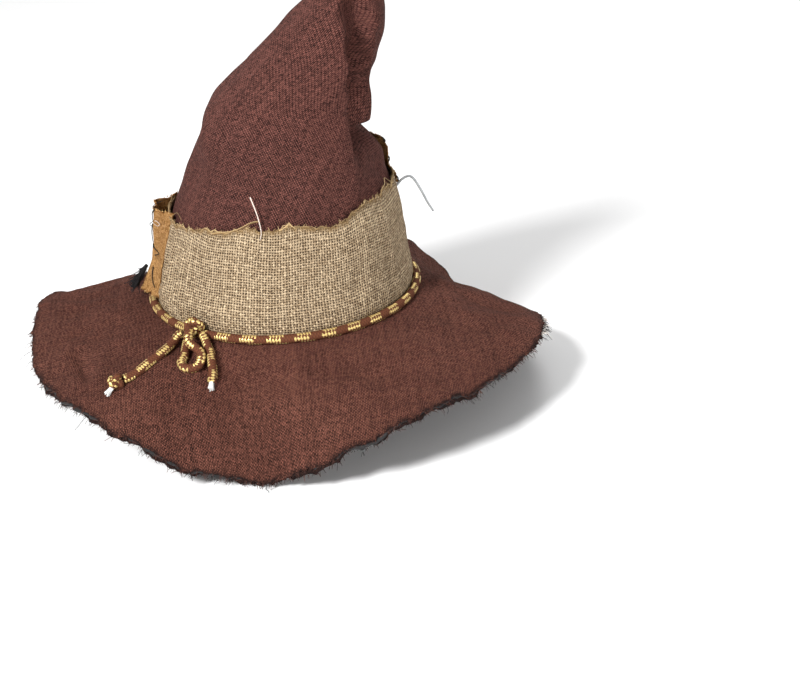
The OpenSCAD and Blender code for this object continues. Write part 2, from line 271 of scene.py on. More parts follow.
def route_frames(p, closed=False):
    """At each point of a route: its direction and two sides that don't twist on the way."""
    ahead = np.roll(p, -1, 0) - np.roll(p, 1, 0)
    if not closed:
        ahead[0], ahead[-1] = p[1] - p[0], p[-1] - p[-2]
    t = unit(ahead)
    side = np.empty_like(t)
    start = np.cross(t[0], (0, 0, 1))
    side[0] = unit(start if np.linalg.norm(start) > 0.1 else np.cross(t[0], (0, 1, 0)))
    for i in range(1, len(p)):
        v = side[i - 1] - t[i] * (side[i - 1] @ t[i])
        side[i] = v / np.linalg.norm(v)
    if closed:
        v = side[-1] - t[0] * (side[-1] @ t[0])
        slip = math.atan2(np.cross(unit(v), side[0]) @ t[0], unit(v) @ side[0])
        up = np.cross(t, side)
        share = (np.arange(len(p)) / len(p) * slip)[:, None]
        side = side * np.cos(share) + up * np.sin(share)
    return t, side, np.cross(t, side)


def thin_tubes(routes, widths, sides=4):
    """Points and faces of many thin threads; each route is a short list of points."""
    points, faces, shares, kinds = [], [], [], []
    start = 0
    for number, (route, width) in enumerate(zip(routes, widths)):
        route = np.asarray(route, float)
        _, u, v = route_frames(route)
        n = len(route)
        taper = np.linspace(1, 0.55, n)[:, None] * width / 2
        for k in range(sides):
            angle = 2 * math.pi * k / sides
            points.append(route + (u * math.cos(angle) + v * math.sin(angle)) * taper)
        rings = np.arange(n - 1)
        for k in range(sides):
            a, b = start + k * n, start + (k + 1) % sides * n
            faces.append(np.stack([a + rings, b + rings, b + rings + 1, a + rings + 1], 1))
        if sides == 4:
            faces.append(np.array([[start + k * n + n - 1 for k in range(4)]]))
        shares.append(np.tile(np.linspace(0, 1, n), sides))
        kinds.append(np.full(n * sides, (number * 0.618) % 1))
        start += n * sides
    return np.vstack(points), np.vstack(faces), np.concatenate(shares), np.concatenate(kinds)


def thread_piece(name, routes, widths, body, finish, sides=4):
    """Many threads in one piece; none of them reaches into what the hat stands on."""
    lowest = FLOOR_Z / MM + 0.5
    routes = [np.column_stack([r[:, :2], np.maximum(r[:, 2], lowest)]) for r in map(np.asarray, routes)]
    points, faces, share, kind = thin_tubes(routes, widths, sides)
    return make_mesh(name, points, faces, body, finish, {"share": share, "kind": kind})


def fray(edge, outward, down, seed, count, shortest, longest, spread=0.6, sag=0.3, lift=0.0):
    """Routes of the loose threads along a raw edge; edge is its points and outward its directions."""
    rng = np.random.RandomState(seed)
    along_edge = unit(np.gradient(edge, axis=0))
    routes, widths = [], []
    for _ in range(count):
        i = rng.randint(len(edge))
        length = shortest + (longest - shortest) * rng.rand() ** 2.6
        aside = along_edge[i] * rng.normal() * spread
        way = unit(outward[i] + aside + down * rng.normal() * 0.25 + lift * np.array((0, 0, 1)))
        curl = along_edge[i] * rng.normal() * 0.35 + down * sag * rng.rand()
        t = np.linspace(0, 1, 5)[:, None]
        routes.append(edge[i] - way * 0.8 + way * t * length + curl * t**2 * length * 0.6)
        widths.append(0.28 + 0.3 * rng.rand())
    return routes, widths


# ---------------------------------------------------------------- making finishes
class Bench:
    """Lays out the nodes of one finish and joins them."""

    def __init__(self, tree):
        self.tree = tree

    def node(self, kind, **settings):
        node = self.tree.nodes.new(kind)
        for key, value in settings.items():
            setattr(node, key, value)
        return node

    def feed(self, socket, value):
        if isinstance(value, bpy.types.NodeSocket):
            self.tree.links.new(value, socket)
        else:
            socket.default_value = value

    def calc(self, operation, a, b=0.0, clamp=False):
        node = self.node("ShaderNodeMath", operation=operation, use_clamp=clamp)
        self.feed(node.inputs[0], a)
        self.feed(node.inputs[1], b)
        return node.outputs[0]

    def blend(self, share, a, b, way="MIX"):
        node = self.node("ShaderNodeMix", data_type="RGBA", blend_type=way)
        self.feed(node.inputs[0], share)
        self.feed(node.inputs[6], a)
        self.feed(node.inputs[7], b)
        return node.outputs[2]

    def between(self, value, low, high, to_low=0.0, to_high=1.0):
        node = self.node("ShaderNodeMapRange", interpolation_type="SMOOTHSTEP")
        for k, v in enumerate((value, low, high, to_low, to_high)):
            self.feed(node.inputs[k], v)
        return node.outputs[0]

    def noise(self, place, scale, detail=3.0, roughness=0.5):
        node = self.node("ShaderNodeTexNoise")
        if place is not None:
            self.feed(node.inputs["Vector"], place)
        node.inputs["Scale"].default_value = scale
        node.inputs["Detail"].default_value = detail
        node.inputs["Roughness"].default_value = roughness
        return node

    def kept(self, name):
        return self.node("ShaderNodeAttribute", attribute_type="GEOMETRY", attribute_name=name)

    def group(self, tree, **values):
        node = self.node("ShaderNodeGroup", node_tree=tree)
        for key, value in values.items():
            self.feed(node.inputs[key.replace("_", " ")], value)
        return node.outputs


NUMBER = "NodeSocketFloat"
VECTOR = "NodeSocketVector"


def new_group(name, inputs, outputs):
    tree = bpy.data.node_groups.new(name, "ShaderNodeTree")
    for key, kind in inputs:
        tree.interface.new_socket(key, in_out="INPUT", socket_type=kind)
    for key, kind in outputs:
        tree.interface.new_socket(key, in_out="OUTPUT", socket_type=kind)
    bench = Bench(tree)
    return tree, bench, bench.node("NodeGroupInput").outputs, bench.node("NodeGroupOutput").inputs


def plain_weave_group():
    """Threads that go over and under each other: their height, the tone of each, and the gaps."""
    tree, b, given, out = new_group(
        "plain weave",
        [("Place", VECTOR), ("Pitch", NUMBER), ("Unevenness", NUMBER), ("Thread Width", NUMBER)],
        [("Height", NUMBER), ("Tone", NUMBER), ("Gap", NUMBER), ("Across", NUMBER)])
    wander = b.noise(given["Place"], 330.0, 2.0)
    wander_far = b.noise(given["Place"], 24.0, 2.0)
    slub = b.noise(given["Place"], 380.0, 2.0)
    split = b.node("ShaderNodeSeparateXYZ")
    b.feed(split.inputs[0], given["Place"])
    shift = b.node("ShaderNodeSeparateColor")
    b.feed(shift.inputs[0], wander.outputs["Color"])
    shift_far = b.node("ShaderNodeSeparateColor")
    b.feed(shift_far.inputs[0], wander_far.outputs["Color"])
    lines = []
    for k in (0, 1):
        line = b.calc("DIVIDE", split.outputs[k], given["Pitch"])
        for source, amount in ((shift, 1.3), (shift_far, 4.0)):
            off = b.calc("MULTIPLY", b.calc("SUBTRACT", source.outputs[k], 0.5), given["Unevenness"])
            line = b.calc("ADD", line, b.calc("MULTIPLY", off, amount))
        lines.append(line)
    whole = [b.calc("FLOOR", line) for line in lines]
    tone_noise = []
    tops = []
    bodies = []
    for k in (0, 1):
        number = b.node("ShaderNodeTexWhiteNoise", noise_dimensions="1D")
        b.feed(number.inputs["W"], b.calc("ADD", whole[k], 0.37 + 91.7 * k))
        own_width = b.between(number.outputs["Value"], 0.0, 1.0, 0.85, 1.1)
        width = b.calc("MULTIPLY", given["Thread Width"], own_width)
        width = b.calc("MULTIPLY", width, b.between(slub.outputs["Fac"], 0.3, 0.7, 0.72, 1.3))
        off = b.calc("ABSOLUTE", b.calc("SUBTRACT", b.calc("FRACT", lines[k]), 0.5))
        share = b.calc("DIVIDE", b.calc("MULTIPLY", off, 2.0), width)
        body = b.calc("SUBTRACT", 1.0, b.calc("MULTIPLY", share, share), clamp=True)
        middle = b.calc("SUBTRACT", lines[1 - k], 0.5)
        wave = b.calc("COSINE", b.calc("MULTIPLY", b.calc("ADD", middle, whole[k]), math.pi))
        if k == 1:
            wave = b.calc("MULTIPLY", wave, -1.0)
        body = b.calc("POWER", body, 0.5)
        tops.append(b.calc("MULTIPLY", body, b.calc("ADD", 0.58, b.calc("MULTIPLY", wave, 0.42))))
        bodies.append(body)
        tone_noise.append(number.outputs["Value"])
    height = b.calc("MAXIMUM", tops[0], tops[1])
    first = b.calc("GREATER_THAN", tops[0], tops[1])
    tone = b.calc("ADD", b.calc("MULTIPLY", tone_noise[0], first),
                  b.calc("MULTIPLY", tone_noise[1], b.calc("SUBTRACT", 1.0, first)))
    crossing = b.node("ShaderNodeCombineXYZ")
    b.feed(crossing.inputs[0], b.calc("ADD", whole[0], 0.5))
    b.feed(crossing.inputs[1], b.calc("ADD", whole[1], 0.5))
    each = b.node("ShaderNodeTexWhiteNoise", noise_dimensions="3D")
    b.feed(each.inputs["Vector"], crossing.outputs[0])
    tone = b.calc("ADD", b.calc("MULTIPLY", tone, 0.22), b.calc("MULTIPLY", each.outputs["Value"], 0.78))
    b.feed(out["Height"], height)
    b.feed(out["Tone"], tone)
    b.feed(out["Across"], first)
    cover = b.between(b.calc("MAXIMUM", bodies[0], bodies[1]), 0.1, 0.55)
    b.feed(out["Gap"], b.calc("SUBTRACT", 1.0, cover))
    return tree


def wear_group():
    """Broad uneven fading of cloth, and darker handled edges."""
    tree, b, given, out = new_group(
        "cloth wear", [("Edge", NUMBER)], [("Fade", NUMBER), ("Edge Dirt", NUMBER), ("Slub", NUMBER)])
    place = b.node("ShaderNodeTexCoord").outputs["Object"]
    broad = b.noise(place, 16.0, 4.0, 0.6).outputs["Fac"]
    small = b.noise(place, 260.0, 3.0, 0.6).outputs["Fac"]
    b.feed(out["Fade"], b.between(broad, 0.3, 0.7))
    b.feed(out["Edge Dirt"], b.calc("MULTIPLY", given["Edge"], b.between(small, 0.25, 0.6), clamp=True))
    b.feed(out["Slub"], small)
    return tree


PLAIN_WEAVE = plain_weave_group()
CLOTH_WEAR = wear_group()


def new_finish(name, roughness, sheen=0.0, sheen_roughness=0.5, specular=0.3):
    material = bpy.data.materials.new(name)
    material.use_nodes = True
    shader = material.node_tree.nodes["Principled BSDF"]
    shader.inputs["Roughness"].default_value = roughness
    shader.inputs["Sheen Weight"].default_value = sheen
    shader.inputs["Sheen Roughness"].default_value = sheen_roughness
    shader.inputs["Specular IOR Level"].default_value = specular
    return material, shader, Bench(material.node_tree)


def raise_surface(b, shader, height, depth, strength=1.0):
    bump = b.node("ShaderNodeBump")
    bump.inputs["Strength"].default_value = strength
    bump.inputs["Distance"].default_value = depth * MM
    b.feed(bump.inputs["Height"], height)
    b.feed(shader.inputs["Normal"], bump.outputs[0])


def woven_finish(name, dark, light, between, edge, pitch, width, uneven, depth, fade, across):
    """Woven cloth. dark and light are its thread colours; between is painted shade in the gaps between the
    threads, and on the linen it also stands for the darker cloth seen through its holes.
    """
    material, shader, b = new_finish(name, 0.95, specular=0.12)
    weave = b.group(PLAIN_WEAVE, Place=b.kept("cloth").outputs["Vector"], Pitch=pitch * MM,
                    Unevenness=uneven, Thread_Width=width)
    wear = b.group(CLOTH_WEAR, Edge=b.kept("edge").outputs["Fac"])
    tone = b.calc("ADD", b.calc("MULTIPLY", weave["Tone"], 0.6), b.calc("MULTIPLY", weave["Across"], across))
    # painted highlight and shade: the higher a thread lies in the weave the lighter its colour, so thread
    # tops look lit and their sides shaded
    tone = b.calc("ADD", tone, b.calc("MULTIPLY", weave["Height"], 0.35))
    tone = b.calc("SUBTRACT", tone, 0.24, clamp=True)
    colour = b.blend(tone, (*dark, 1), (*light, 1))
    faded = b.blend(b.calc("MULTIPLY", wear["Fade"], fade), colour, (0.55, 0.5, 0.5, 1), "MULTIPLY")
    # painted shade: the gaps between the threads take the near-black between colour
    colour = b.blend(b.calc("MULTIPLY", weave["Gap"], 0.9), faded, (*between, 1))
    colour = b.blend(wear["Edge Dirt"], colour, (*edge, 1))
    b.feed(shader.inputs["Base Color"], colour)
    height = b.calc("ADD", weave["Height"], b.calc("MULTIPLY", wear["Slub"], 0.15))
    raise_surface(b, shader, height, depth)
    return material


def thread_finish(name, dark, light, roughness=0.85, sheen=0.03):
    """Loose or sewn thread: each thread has its own tone, and twisted ply."""
    material, shader, b = new_finish(name, roughness, sheen, specular=0.15)
    b.feed(shader.inputs["Base Color"], b.blend(b.kept("kind").outputs["Fac"], (*dark, 1), (*light, 1)))
    ply = b.noise(b.node("ShaderNodeTexCoord").outputs["Object"], 1400.0, 2.0).outputs["Fac"]
    raise_surface(b, shader, ply, 0.12)
    return material


def cord_finish():
    """Dark red-brown braid with pale-gold metallic yarn. The brown is painted darker where the braid lies
    low, as shade between its strands, and the gold mixes painted highlight and shadow tones.
    """
    material, shader, b = new_finish("braided cord", 0.6, 0.0, specular=0.2)
    gold = b.kept("gold").outputs["Fac"]
    place = b.node("ShaderNodeTexCoord").outputs["Object"]
    fibre = b.noise(place, 900.0, 3.0).outputs["Fac"]
    # painted shade: the brown goes nearly black where the braid lies low and lighter on the strands' tops
    brown = b.blend(b.kept("braid").outputs["Fac"], (0.008, 0.002, 0.001, 1), (0.14, 0.046, 0.021, 1))
    # painted light: the gold yarn runs from a shadowed olive to a highlight pale yellow, mixed at random by
    # the fibre noise
    yarn = b.blend(fibre, (0.45, 0.28, 0.06, 1), (1.0, 0.8, 0.36, 1))
    mask = b.between(gold, 0.35, 0.65)
    b.feed(shader.inputs["Base Color"], b.blend(mask, brown, yarn))
    b.feed(shader.inputs["Metallic"], b.calc("MULTIPLY", mask, 0.55))
    b.feed(shader.inputs["Roughness"], b.between(mask, 0.0, 1.0, 0.85, 0.38))
    raise_surface(b, shader, fibre, 0.15)
    return material


def backing_finish(name, dark, light, scale, depth, roughness=0.8):
    """Matted or ribbed cloth that has no open weave."""
    material, shader, b = new_finish(name, roughness, 0.1)
    place = b.node("ShaderNodeTexCoord").outputs["Object"]
    mat = b.noise(place, scale, 5.0, 0.7).outputs["Fac"]
    b.feed(shader.inputs["Base Color"], b.blend(b.between(mat, 0.3, 0.7), (*dark, 1), (*light, 1)))
    raise_surface(b, shader, mat, depth)
    return material


def ribbed_finish(name, dark, light, pitch, roughness, sheen):
    """Ribbon with fine ribs across it, and painted shade in the grooves between the ribs."""
    material, shader, b = new_finish(name, roughness, sheen)
    split = b.node("ShaderNodeSeparateXYZ")
    b.feed(split.inputs[0], b.kept("cloth").outputs["Vector"])
    ribs = b.calc("SINE", b.calc("MULTIPLY", split.outputs[0], 2 * math.pi / (pitch * MM)))
    ribs = b.between(ribs, -1.0, 1.0)
    slub = b.noise(b.kept("cloth").outputs["Vector"], 500.0, 2.0).outputs["Fac"]
    # painted shade: the colour follows the ribs' height, darker in the grooves and lighter on the ribs,
    # partly broken up at random by the slub noise
    b.feed(shader.inputs["Base Color"], b.blend(b.calc("MULTIPLY", ribs, slub), (*dark, 1), (*light, 1)))
    raise_surface(b, shader, ribs, 0.25)
    return material


def nylon_finish():
    """Milky clear nylon, with faint flow lines from its mould."""
    material, shader, b = new_finish("clear nylon", 0.28, 0.0, specular=0.5)
    flow = b.noise(b.node("ShaderNodeTexCoord").outputs["Object"], 220.0, 2.0).outputs["Fac"]
    b.feed(shader.inputs["Base Color"], b.blend(flow, (0.2, 0.21, 0.22, 1), (0.5, 0.52, 0.53, 1)))
    shader.inputs["Transmission Weight"].default_value = 0.15
    shader.inputs["IOR"].default_value = 1.53
    raise_surface(b, shader, flow, 0.1)
    return material


# Each cloth's between colour is painted shade in the gaps of its weave.
CROWN_CLOTH = woven_finish(
    "brown crown cloth", dark=(0.008, 0.003, 0.003), light=(0.225, 0.085, 0.067),
    between=(0.002, 0.001, 0.001), edge=(0.03, 0.013, 0.01),
    pitch=1.05, width=0.74, uneven=0.2, depth=1.2, fade=0.2, across=0.52)
BRIM_CLOTH = woven_finish(
    "brown brim cloth", dark=(0.007, 0.003, 0.002), light=(0.29, 0.109, 0.076),
    between=(0.002, 0.001, 0.001), edge=(0.02, 0.01, 0.009),
    pitch=1.1, width=0.74, uneven=0.22, depth=1.3, fade=0.5, across=0.52)
UNDER_CLOTH = woven_finish(
    "dark underside cloth", dark=(0.006, 0.003, 0.003), light=(0.09, 0.04, 0.032),
    between=(0.002, 0.001, 0.001), edge=(0.012, 0.007, 0.006),
    pitch=1.1, width=0.78, uneven=0.22, depth=0.9, fade=0.3, across=0.35)
LINEN = woven_finish(
    "natural linen", dark=(0.31, 0.215, 0.125), light=(0.83, 0.65, 0.43),
    between=(0.016, 0.008, 0.004), edge=(0.25, 0.15, 0.06),
    pitch=1.95, width=0.57, uneven=0.4, depth=1.6, fade=0.12, across=0.08)
PATCH_CLOTH = woven_finish(
    "golden patch cloth", dark=(0.26, 0.115, 0.03), light=(0.86, 0.5, 0.2),
    between=(0.08, 0.03, 0.008), edge=(0.2, 0.08, 0.02),
    pitch=0.95, width=0.88, uneven=0.3, depth=0.9, fade=0.6, across=0.1)
BROWN_FRAY = thread_finish("frayed brown thread", (0.02, 0.009, 0.008), (0.13, 0.058, 0.045))
BLACK_THREAD = thread_finish("black thread", (0.004, 0.004, 0.005), (0.018, 0.016, 0.017), 0.7)
LINEN_FRAY = thread_finish("frayed linen thread", (0.17, 0.1, 0.04), (0.52, 0.37, 0.19))
PATCH_FRAY = thread_finish("frayed patch thread", (0.3, 0.15, 0.045), (0.62, 0.4, 0.17))
PALE_FRAY = thread_finish("pale loose thread", (0.62, 0.52, 0.45), (0.72, 0.7, 0.66))
CORE_YARN = thread_finish("white core yarn", (0.72, 0.71, 0.68), (0.92, 0.92, 0.9))
CORD = cord_finish()
BACKING = backing_finish("black backing", (0.006, 0.006, 0.006), (0.028, 0.026, 0.026), 700.0, 0.3)
SWEATBAND = ribbed_finish("sweatband ribbon", (0.006, 0.005, 0.004), (0.04, 0.032, 0.028), 1.1, 0.6, 0.2)
LABEL = ribbed_finish("label ribbon", (0.62, 0.62, 0.6), (0.85, 0.85, 0.83), 0.35, 0.45, 0.3)
NYLON = nylon_finish()


# ---------------------------------------------------------------- camera, floor and light
def aim_camera():
    """The camera stands in front of the hat and above it, a little turned about its own axis."""
    away, height_angle, roll = 1.10656, 23.5, 5.0
    focal, wide, high = 1400.0, 800, 675
    hat_across, hat_down = 286.0, 286.0
    e = math.radians(height_angle)
    place = Vector((0, -math.cos(e), math.sin(e))) * away
    ahead = -place.normalized()
    right = ahead.cross(Vector((0, 0, 1))).normalized()
    upward = right.cross(ahead)
    turned = Matrix((right, upward, -ahead)).transposed() @ Matrix.Rotation(-math.radians(roll), 3, "Z")
    to_hat = Vector(((hat_across - wide / 2) / focal, -(hat_down - high / 2) / focal, -1)).normalized()
    swing = to_hat.rotation_difference(Vector((0, 0, -1))).to_matrix()
    data = bpy.data.cameras.new("camera")
    data.sensor_width = 36
    data.lens = focal / wide * data.sensor_width
    data.clip_start = 0.01
    camera = bpy.data.objects.new("camera", data)
    camera.matrix_world = Matrix.Translation(place) @ (turned @ swing).to_4x4()
    bpy.context.scene.collection.objects.link(camera)
    bpy.context.scene.camera = camera


def lay_floor():
    mesh = bpy.data.meshes.new("floor")
    half = 4.0
    z = FLOOR_Z - 0.0003
    corners = [(-half, -half, z), (half, -half, z), (half, half, z), (-half, half, z)]
    mesh.from_pydata(corners, [], [(0, 1, 2, 3)])
    floor = bpy.data.objects.new("floor", mesh)
    bpy.context.scene.collection.objects.link(floor)
    material, shader, b = new_finish("pale floor", 0.9)
    grain = b.noise(b.node("ShaderNodeTexCoord").outputs["Object"], 3.0).outputs["Fac"]
    b.feed(shader.inputs["Base Color"], b.blend(grain, (0.93, 0.93, 0.93, 1), (0.96, 0.96, 0.96, 1)))
    mesh.materials.append(material)


def hang_light(name, place, target, size, watts):
    data = bpy.data.lights.new(name, "AREA")
    data.shape = "DISK"
    data.size = size
    data.energy = watts
    light = bpy.data.objects.new(name, data)
    light.location = place
    light.rotation_euler = (Vector(target) - Vector(place)).to_track_quat("-Z", "Y").to_euler()
    bpy.context.scene.collection.objects.link(light)


def light_studio():
    bpy.context.scene.view_settings.view_transform = "Standard"
    world = bpy.data.worlds.new("studio")
    bpy.context.scene.world = world
    world.use_nodes = True
    sky = world.node_tree.nodes["Background"]
    sky.inputs["Color"].default_value = (1, 1, 1, 1)
    sky.inputs["Strength"].default_value = 0.42
    hang_light("key light", (-1.3, -1.4, 1.6), (0, 0, 0.0), 0.6, 88)
    hang_light("fill light", (1.4, -1.5, 0.3), (0, 0, 0.0), 0.8, 19)
    hang_light("back light", (0.6, 1.6, 2.0), (0, 0, 0.1), 1.2, 22)


aim_camera()
lay_floor()
light_studio()


# ---------------------------------------------------------------- cord
GOLD_PERIOD = 19.5     # one gold dash and the brown after it
TICK = 2.2             # from one gold float to the next
BRAID_ROWS = 5         # rows of floats round the cord


def braid(u, w):
    """Height of the braid, which also sets the painted shade of its strands, and where the gold yarn lies, u
    along the cord and w round it.
    """
    p = BRAID_ROWS * w - u / TICK
    q = BRAID_ROWS * w + u / TICK
    i, j = np.floor(p), np.floor(q)
    round_p = np.sqrt(np.clip(1 - (2 * (p - i) - 1) ** 2, 0, 1))
    round_q = np.sqrt(np.clip(1 - (2 * (q - j) - 1) ** 2, 0, 1))
    over_p = round_p * (0.58 + 0.42 * np.cos(math.pi * (q - 0.5 + i)))
    over_q = round_q * (0.58 - 0.42 * np.cos(math.pi * (p - 0.5 + j)))
    height = np.maximum(over_p, over_q)
    row = np.floor(BRAID_ROWS * w)
    dash = (u / GOLD_PERIOD - row * 0.27) % 1 < 0.54
    gold = (over_p > over_q) & dash & (round_p > 0.3)
    return height, gold.astype(float)


def braided_tube(name, route, r, body, closed=False, step=0.42, around=26, twist=0.0, start=0.0):
    """A braided cord along a route, with its braid in the surface."""
    p, s, _ = even_route(route, step, closed)
    _, side, up = route_frames(p, closed)
    w = np.arange(around) / around
    U, W = np.meshgrid(s + start, w, indexing="ij")
    height, gold = braid(U, (W + twist) % 1)
    rr = r * (0.86 + 0.16 * height + 0.05 * gold)
    if not closed:
        rr[0] *= 0.75
        rr[-1] *= 0.75
    angle = W * 2 * math.pi
    points = (p[:, None] + side[:, None] * (rr * np.cos(angle))[..., None]
              + up[:, None] * (rr * np.sin(angle))[..., None]).reshape(-1, 3)
    n = len(p)
    faces = grid_faces(n, around, True)
    j = np.arange(around)
    k = (j + 1) % around
    last = (n - 1) * around
    gold, height = gold.ravel(), height.ravel()
    if closed:
        faces = np.vstack([faces, np.stack([last + j, last + k, k, j], 1)])
    else:
        points = np.vstack([points, p[:1], p[-1:]])
        first_tip, last_tip = np.full(around, n * around), np.full(around, n * around + 1)
        faces = [*faces, *np.stack([j, first_tip, k], 1), *np.stack([last + j, last + k, last_tip], 1)]
        gold, height = np.append(gold, [0, 0]), np.append(height, [0, 0])
    # braid keeps the braid's height, which the cord's finish also uses to paint shade between the strands
    notes = {"gold": gold, "braid": height}
    return make_mesh(name, points, faces, body, CORD, notes), p


KNOT = from_polar(RING_R + CORD_R + KNOT_CLEAR, KNOT_ANGLE, KNOT_D / 2 + KNOT_LIFT)
CORD_REST = CORD_R + REST_GAP
STRAIGHT = 4.2
TAIL_LEFT = ((-15.5, -4.9, 0.2), (-22, -13, 0.3), (-31, -20.9, 0.2), (-40, -29, 0), (-47, -34, 0.4),
             (-51, -36, 1.3))
STOPPER = (-56, -39)
CORE_LEFT = ((-59, -42.5, 1.3), (-63, -47, 0.4))
TAIL_RIGHT = ((9.5, -16.5, 0.3), (11, -22, 0), (12, -30.9, 0.1), (12, -39, 0), (11, -44, 0))
LOOP = ((-3.4, -15.2, 10.5), (-2.9, -19.1, 8.2), (4.7, -25.6, 3.9), (2, -32.4, 0.9), (-6.6, -32.6, 0.1),
        (-9.7, -27.6, 0.2), (-7.6, -21.9, 0.2), (-6.6, -16.9, 0))
TAIL_LEFT_EXIT = (-8.1, -1.3, -3.3)
TAIL_RIGHT_EXIT = (5.1, -7, -2.8)
LOOP_EXIT = (-1.8, -7.4, 1.1)
LOOP_RETURN = (-3.9, -6.6, -5.2)


def above_brim(across, forward, up):
    x, y = KNOT[0] + across, KNOT[1] + forward
    return np.array((x, y, brim_z(x, y) + up))


def on_brim(place):
    return above_brim(place[0], place[1], CORD_REST + place[2])


def exit_point(way, out=0.8):
    return KNOT + unit(way) * (KNOT_D / 2 + out)


def leave(way):
    return [exit_point(way), exit_point(way, STRAIGHT)]


def far(route):
    return float(np.linalg.norm(np.diff(route, axis=0), axis=1).sum())


def knot_route(middle, size, across, upward):
    """The winding of an overhand knot, drawn tight round its middle."""
    t = np.linspace(0, 2 * math.pi, 160, endpoint=False)
    x, y = np.sin(t) + 2 * np.sin(2 * t), np.cos(t) - 2 * np.cos(2 * t)
    flat = np.stack([x, y, -1.25 * np.sin(3 * t)], 1) * size / 3
    across = unit(across)
    upward = unit(np.asarray(upward, float) - across * (across @ np.asarray(upward, float)))
    return middle + flat[:, :1] * across + flat[:, 1:2] * upward + flat[:, 2:] * np.cross(across, upward)


def make_cords():
    around_base = np.linspace(0, 360, 720, endpoint=False)
    ring_route = from_polar(RING_R, around_base, CORD_R + RING_LIFT)
    ring, _ = braided_tube("cord_round_band", ring_route, CORD_R, "hat", closed=True, step=0.5, around=30,
                           twist=0.125)
    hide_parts("cord_ring")
    winding = knot_route(KNOT + (0.3, 0.2, 0.2), 5.6, (0.75, -0.62, 0.1), (0.1, 0.2, 1))
    knot, _ = braided_tube("main_knot", winding, 2.9, "hat", closed=True, step=0.4, twist=0.13)
    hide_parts("cord_knot")
    tail_left_route = smooth_route(leave(TAIL_LEFT_EXIT) + [on_brim(p) for p in TAIL_LEFT], 8)
    tail_left, left_path = braided_tube("cord_tail_to_left", tail_left_route, CORD_R, "tail_left",
                                        twist=0.3, start=4)
    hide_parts("cord_tail_left")
    tail_right_route = smooth_route(leave(TAIL_RIGHT_EXIT) + [on_brim(p) for p in TAIL_RIGHT], 8)
    tail_right, right_path = braided_tube("cord_tail_to_right", tail_right_route, CORD_R, "bow",
                                          twist=0.55, start=9)
    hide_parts("cord_tail_right")
    back_in = leave(LOOP_RETURN)[::-1]
    loop_route = smooth_route(leave(LOOP_EXIT) + [on_brim(p) for p in LOOP] + back_in, 6)
    loop, loop_path = braided_tube("bow_of_cord", loop_route, CORD_R, "bow", twist=0.1, start=14)
    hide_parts("bow_loop")
    middle = above_brim(*STOPPER, STOPPER_D / 2 + KNOT_LIFT)
    winding = knot_route(middle, 4.0, (0.8, 0.6, 0.3), (-0.2, 0.1, 1))
    stopper, _ = braided_tube("stopper_winding", winding, 2.5, "tail_left", closed=True, step=0.4, twist=0.4)
    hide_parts("stopper_knot")
    core_left = yarn_end("left_core_yarn", on_brim(CORE_LEFT[0]), on_brim(CORE_LEFT[1]), "tail_left", 5)
    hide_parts("core_left")
    end = on_brim(TAIL_RIGHT[-1])
    ahead = unit(end - on_brim(TAIL_RIGHT[-2]))
    core_right = yarn_end("right_core_yarn", end - ahead, end + ahead * 6, "bow", 6)
    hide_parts("core_right")


def yarn_end(name, start, end, body, seed):
    """The white core of a cut cord: a bundle of yarns that spread at their ends."""
    rng = np.random.RandomState(seed)
    way = unit(end - start)
    u = unit(np.cross(way, (0, 0, 1)))
    v = np.cross(way, u)
    length = np.linalg.norm(end - start)
    routes, widths = [], []
    for _ in range(34):
        angle, out = rng.rand() * 2 * math.pi, math.sqrt(rng.rand()) * 1.5
        off = u * math.cos(angle) * out + v * math.sin(angle) * out
        t = np.linspace(0, 1, 6)[:, None]
        reach_out = length * (0.8 + 0.25 * rng.rand())
        stray = off * t**2 * 0.45 + rng.normal(size=3) * t**2 * 0.25
        routes.append(start + off + way * t * reach_out + stray)
        widths.append(0.75)
    return thread_piece(name, routes, widths, body, CORE_YARN)


make_cords()


# ---------------------------------------------------------------- crown
RIDGE_LINE = ((87, -49), (125, -48), (135, -49), (158, -53), (178, -66), (203, -82), (225, -103), (250, -125))
RIDGE_HEIGHT = ((78, 0), (104, 2.2), (130, 4.2), (160, 5.2), (200, 5.6), (230, 4.2), (255, 1.5), (275, 0))
HOLLOW_DEPTH = ((80, 0), (106, 3.5), (124, 7), (136, 14), (158, 20), (190, 22), (215, 19), (240, 9), (262, 0))
ROLL_HEIGHT = ((134, 0), (150, -0.5), (172, -4.2), (196, -4), (214, 1.5), (232, 1.5), (255, 0))
CROWN_CREASES = (     # start and end as angle and height, width in mm, depth
    ((-58, 128), (-100, 112), 5, 1.6), ((-60, 136), (-112, 150), 6, 1.4), ((-70, 118), (-120, 98), 7, 1.2),
    ((-78, 168), (-112, 186), 6, 1.3), ((-120, 206), (-150, 178), 7, -1.3),
    ((-135, 170), (-150, 120), 8, -1.0),
    ((-95, 160), (-104, 110), 8, -1.1), ((-165, 150), (-190, 120), 7, 1.6), ((40, 150), (95, 132), 7, 2.4),
    ((70, 168), (120, 158), 8, 2.0), ((110, 140), (165, 128), 7, 2.2), ((30, 112), (75, 98), 7, 1.6),
    ((150, 178), (200, 170), 7, 1.6), ((-40, 105), (-12, 96), 5, 1.4), ((-46, 112), (-72, 88), 6, 1.2))


MM_PER_DEGREE = 1.15   # across the crown, about where its creases are


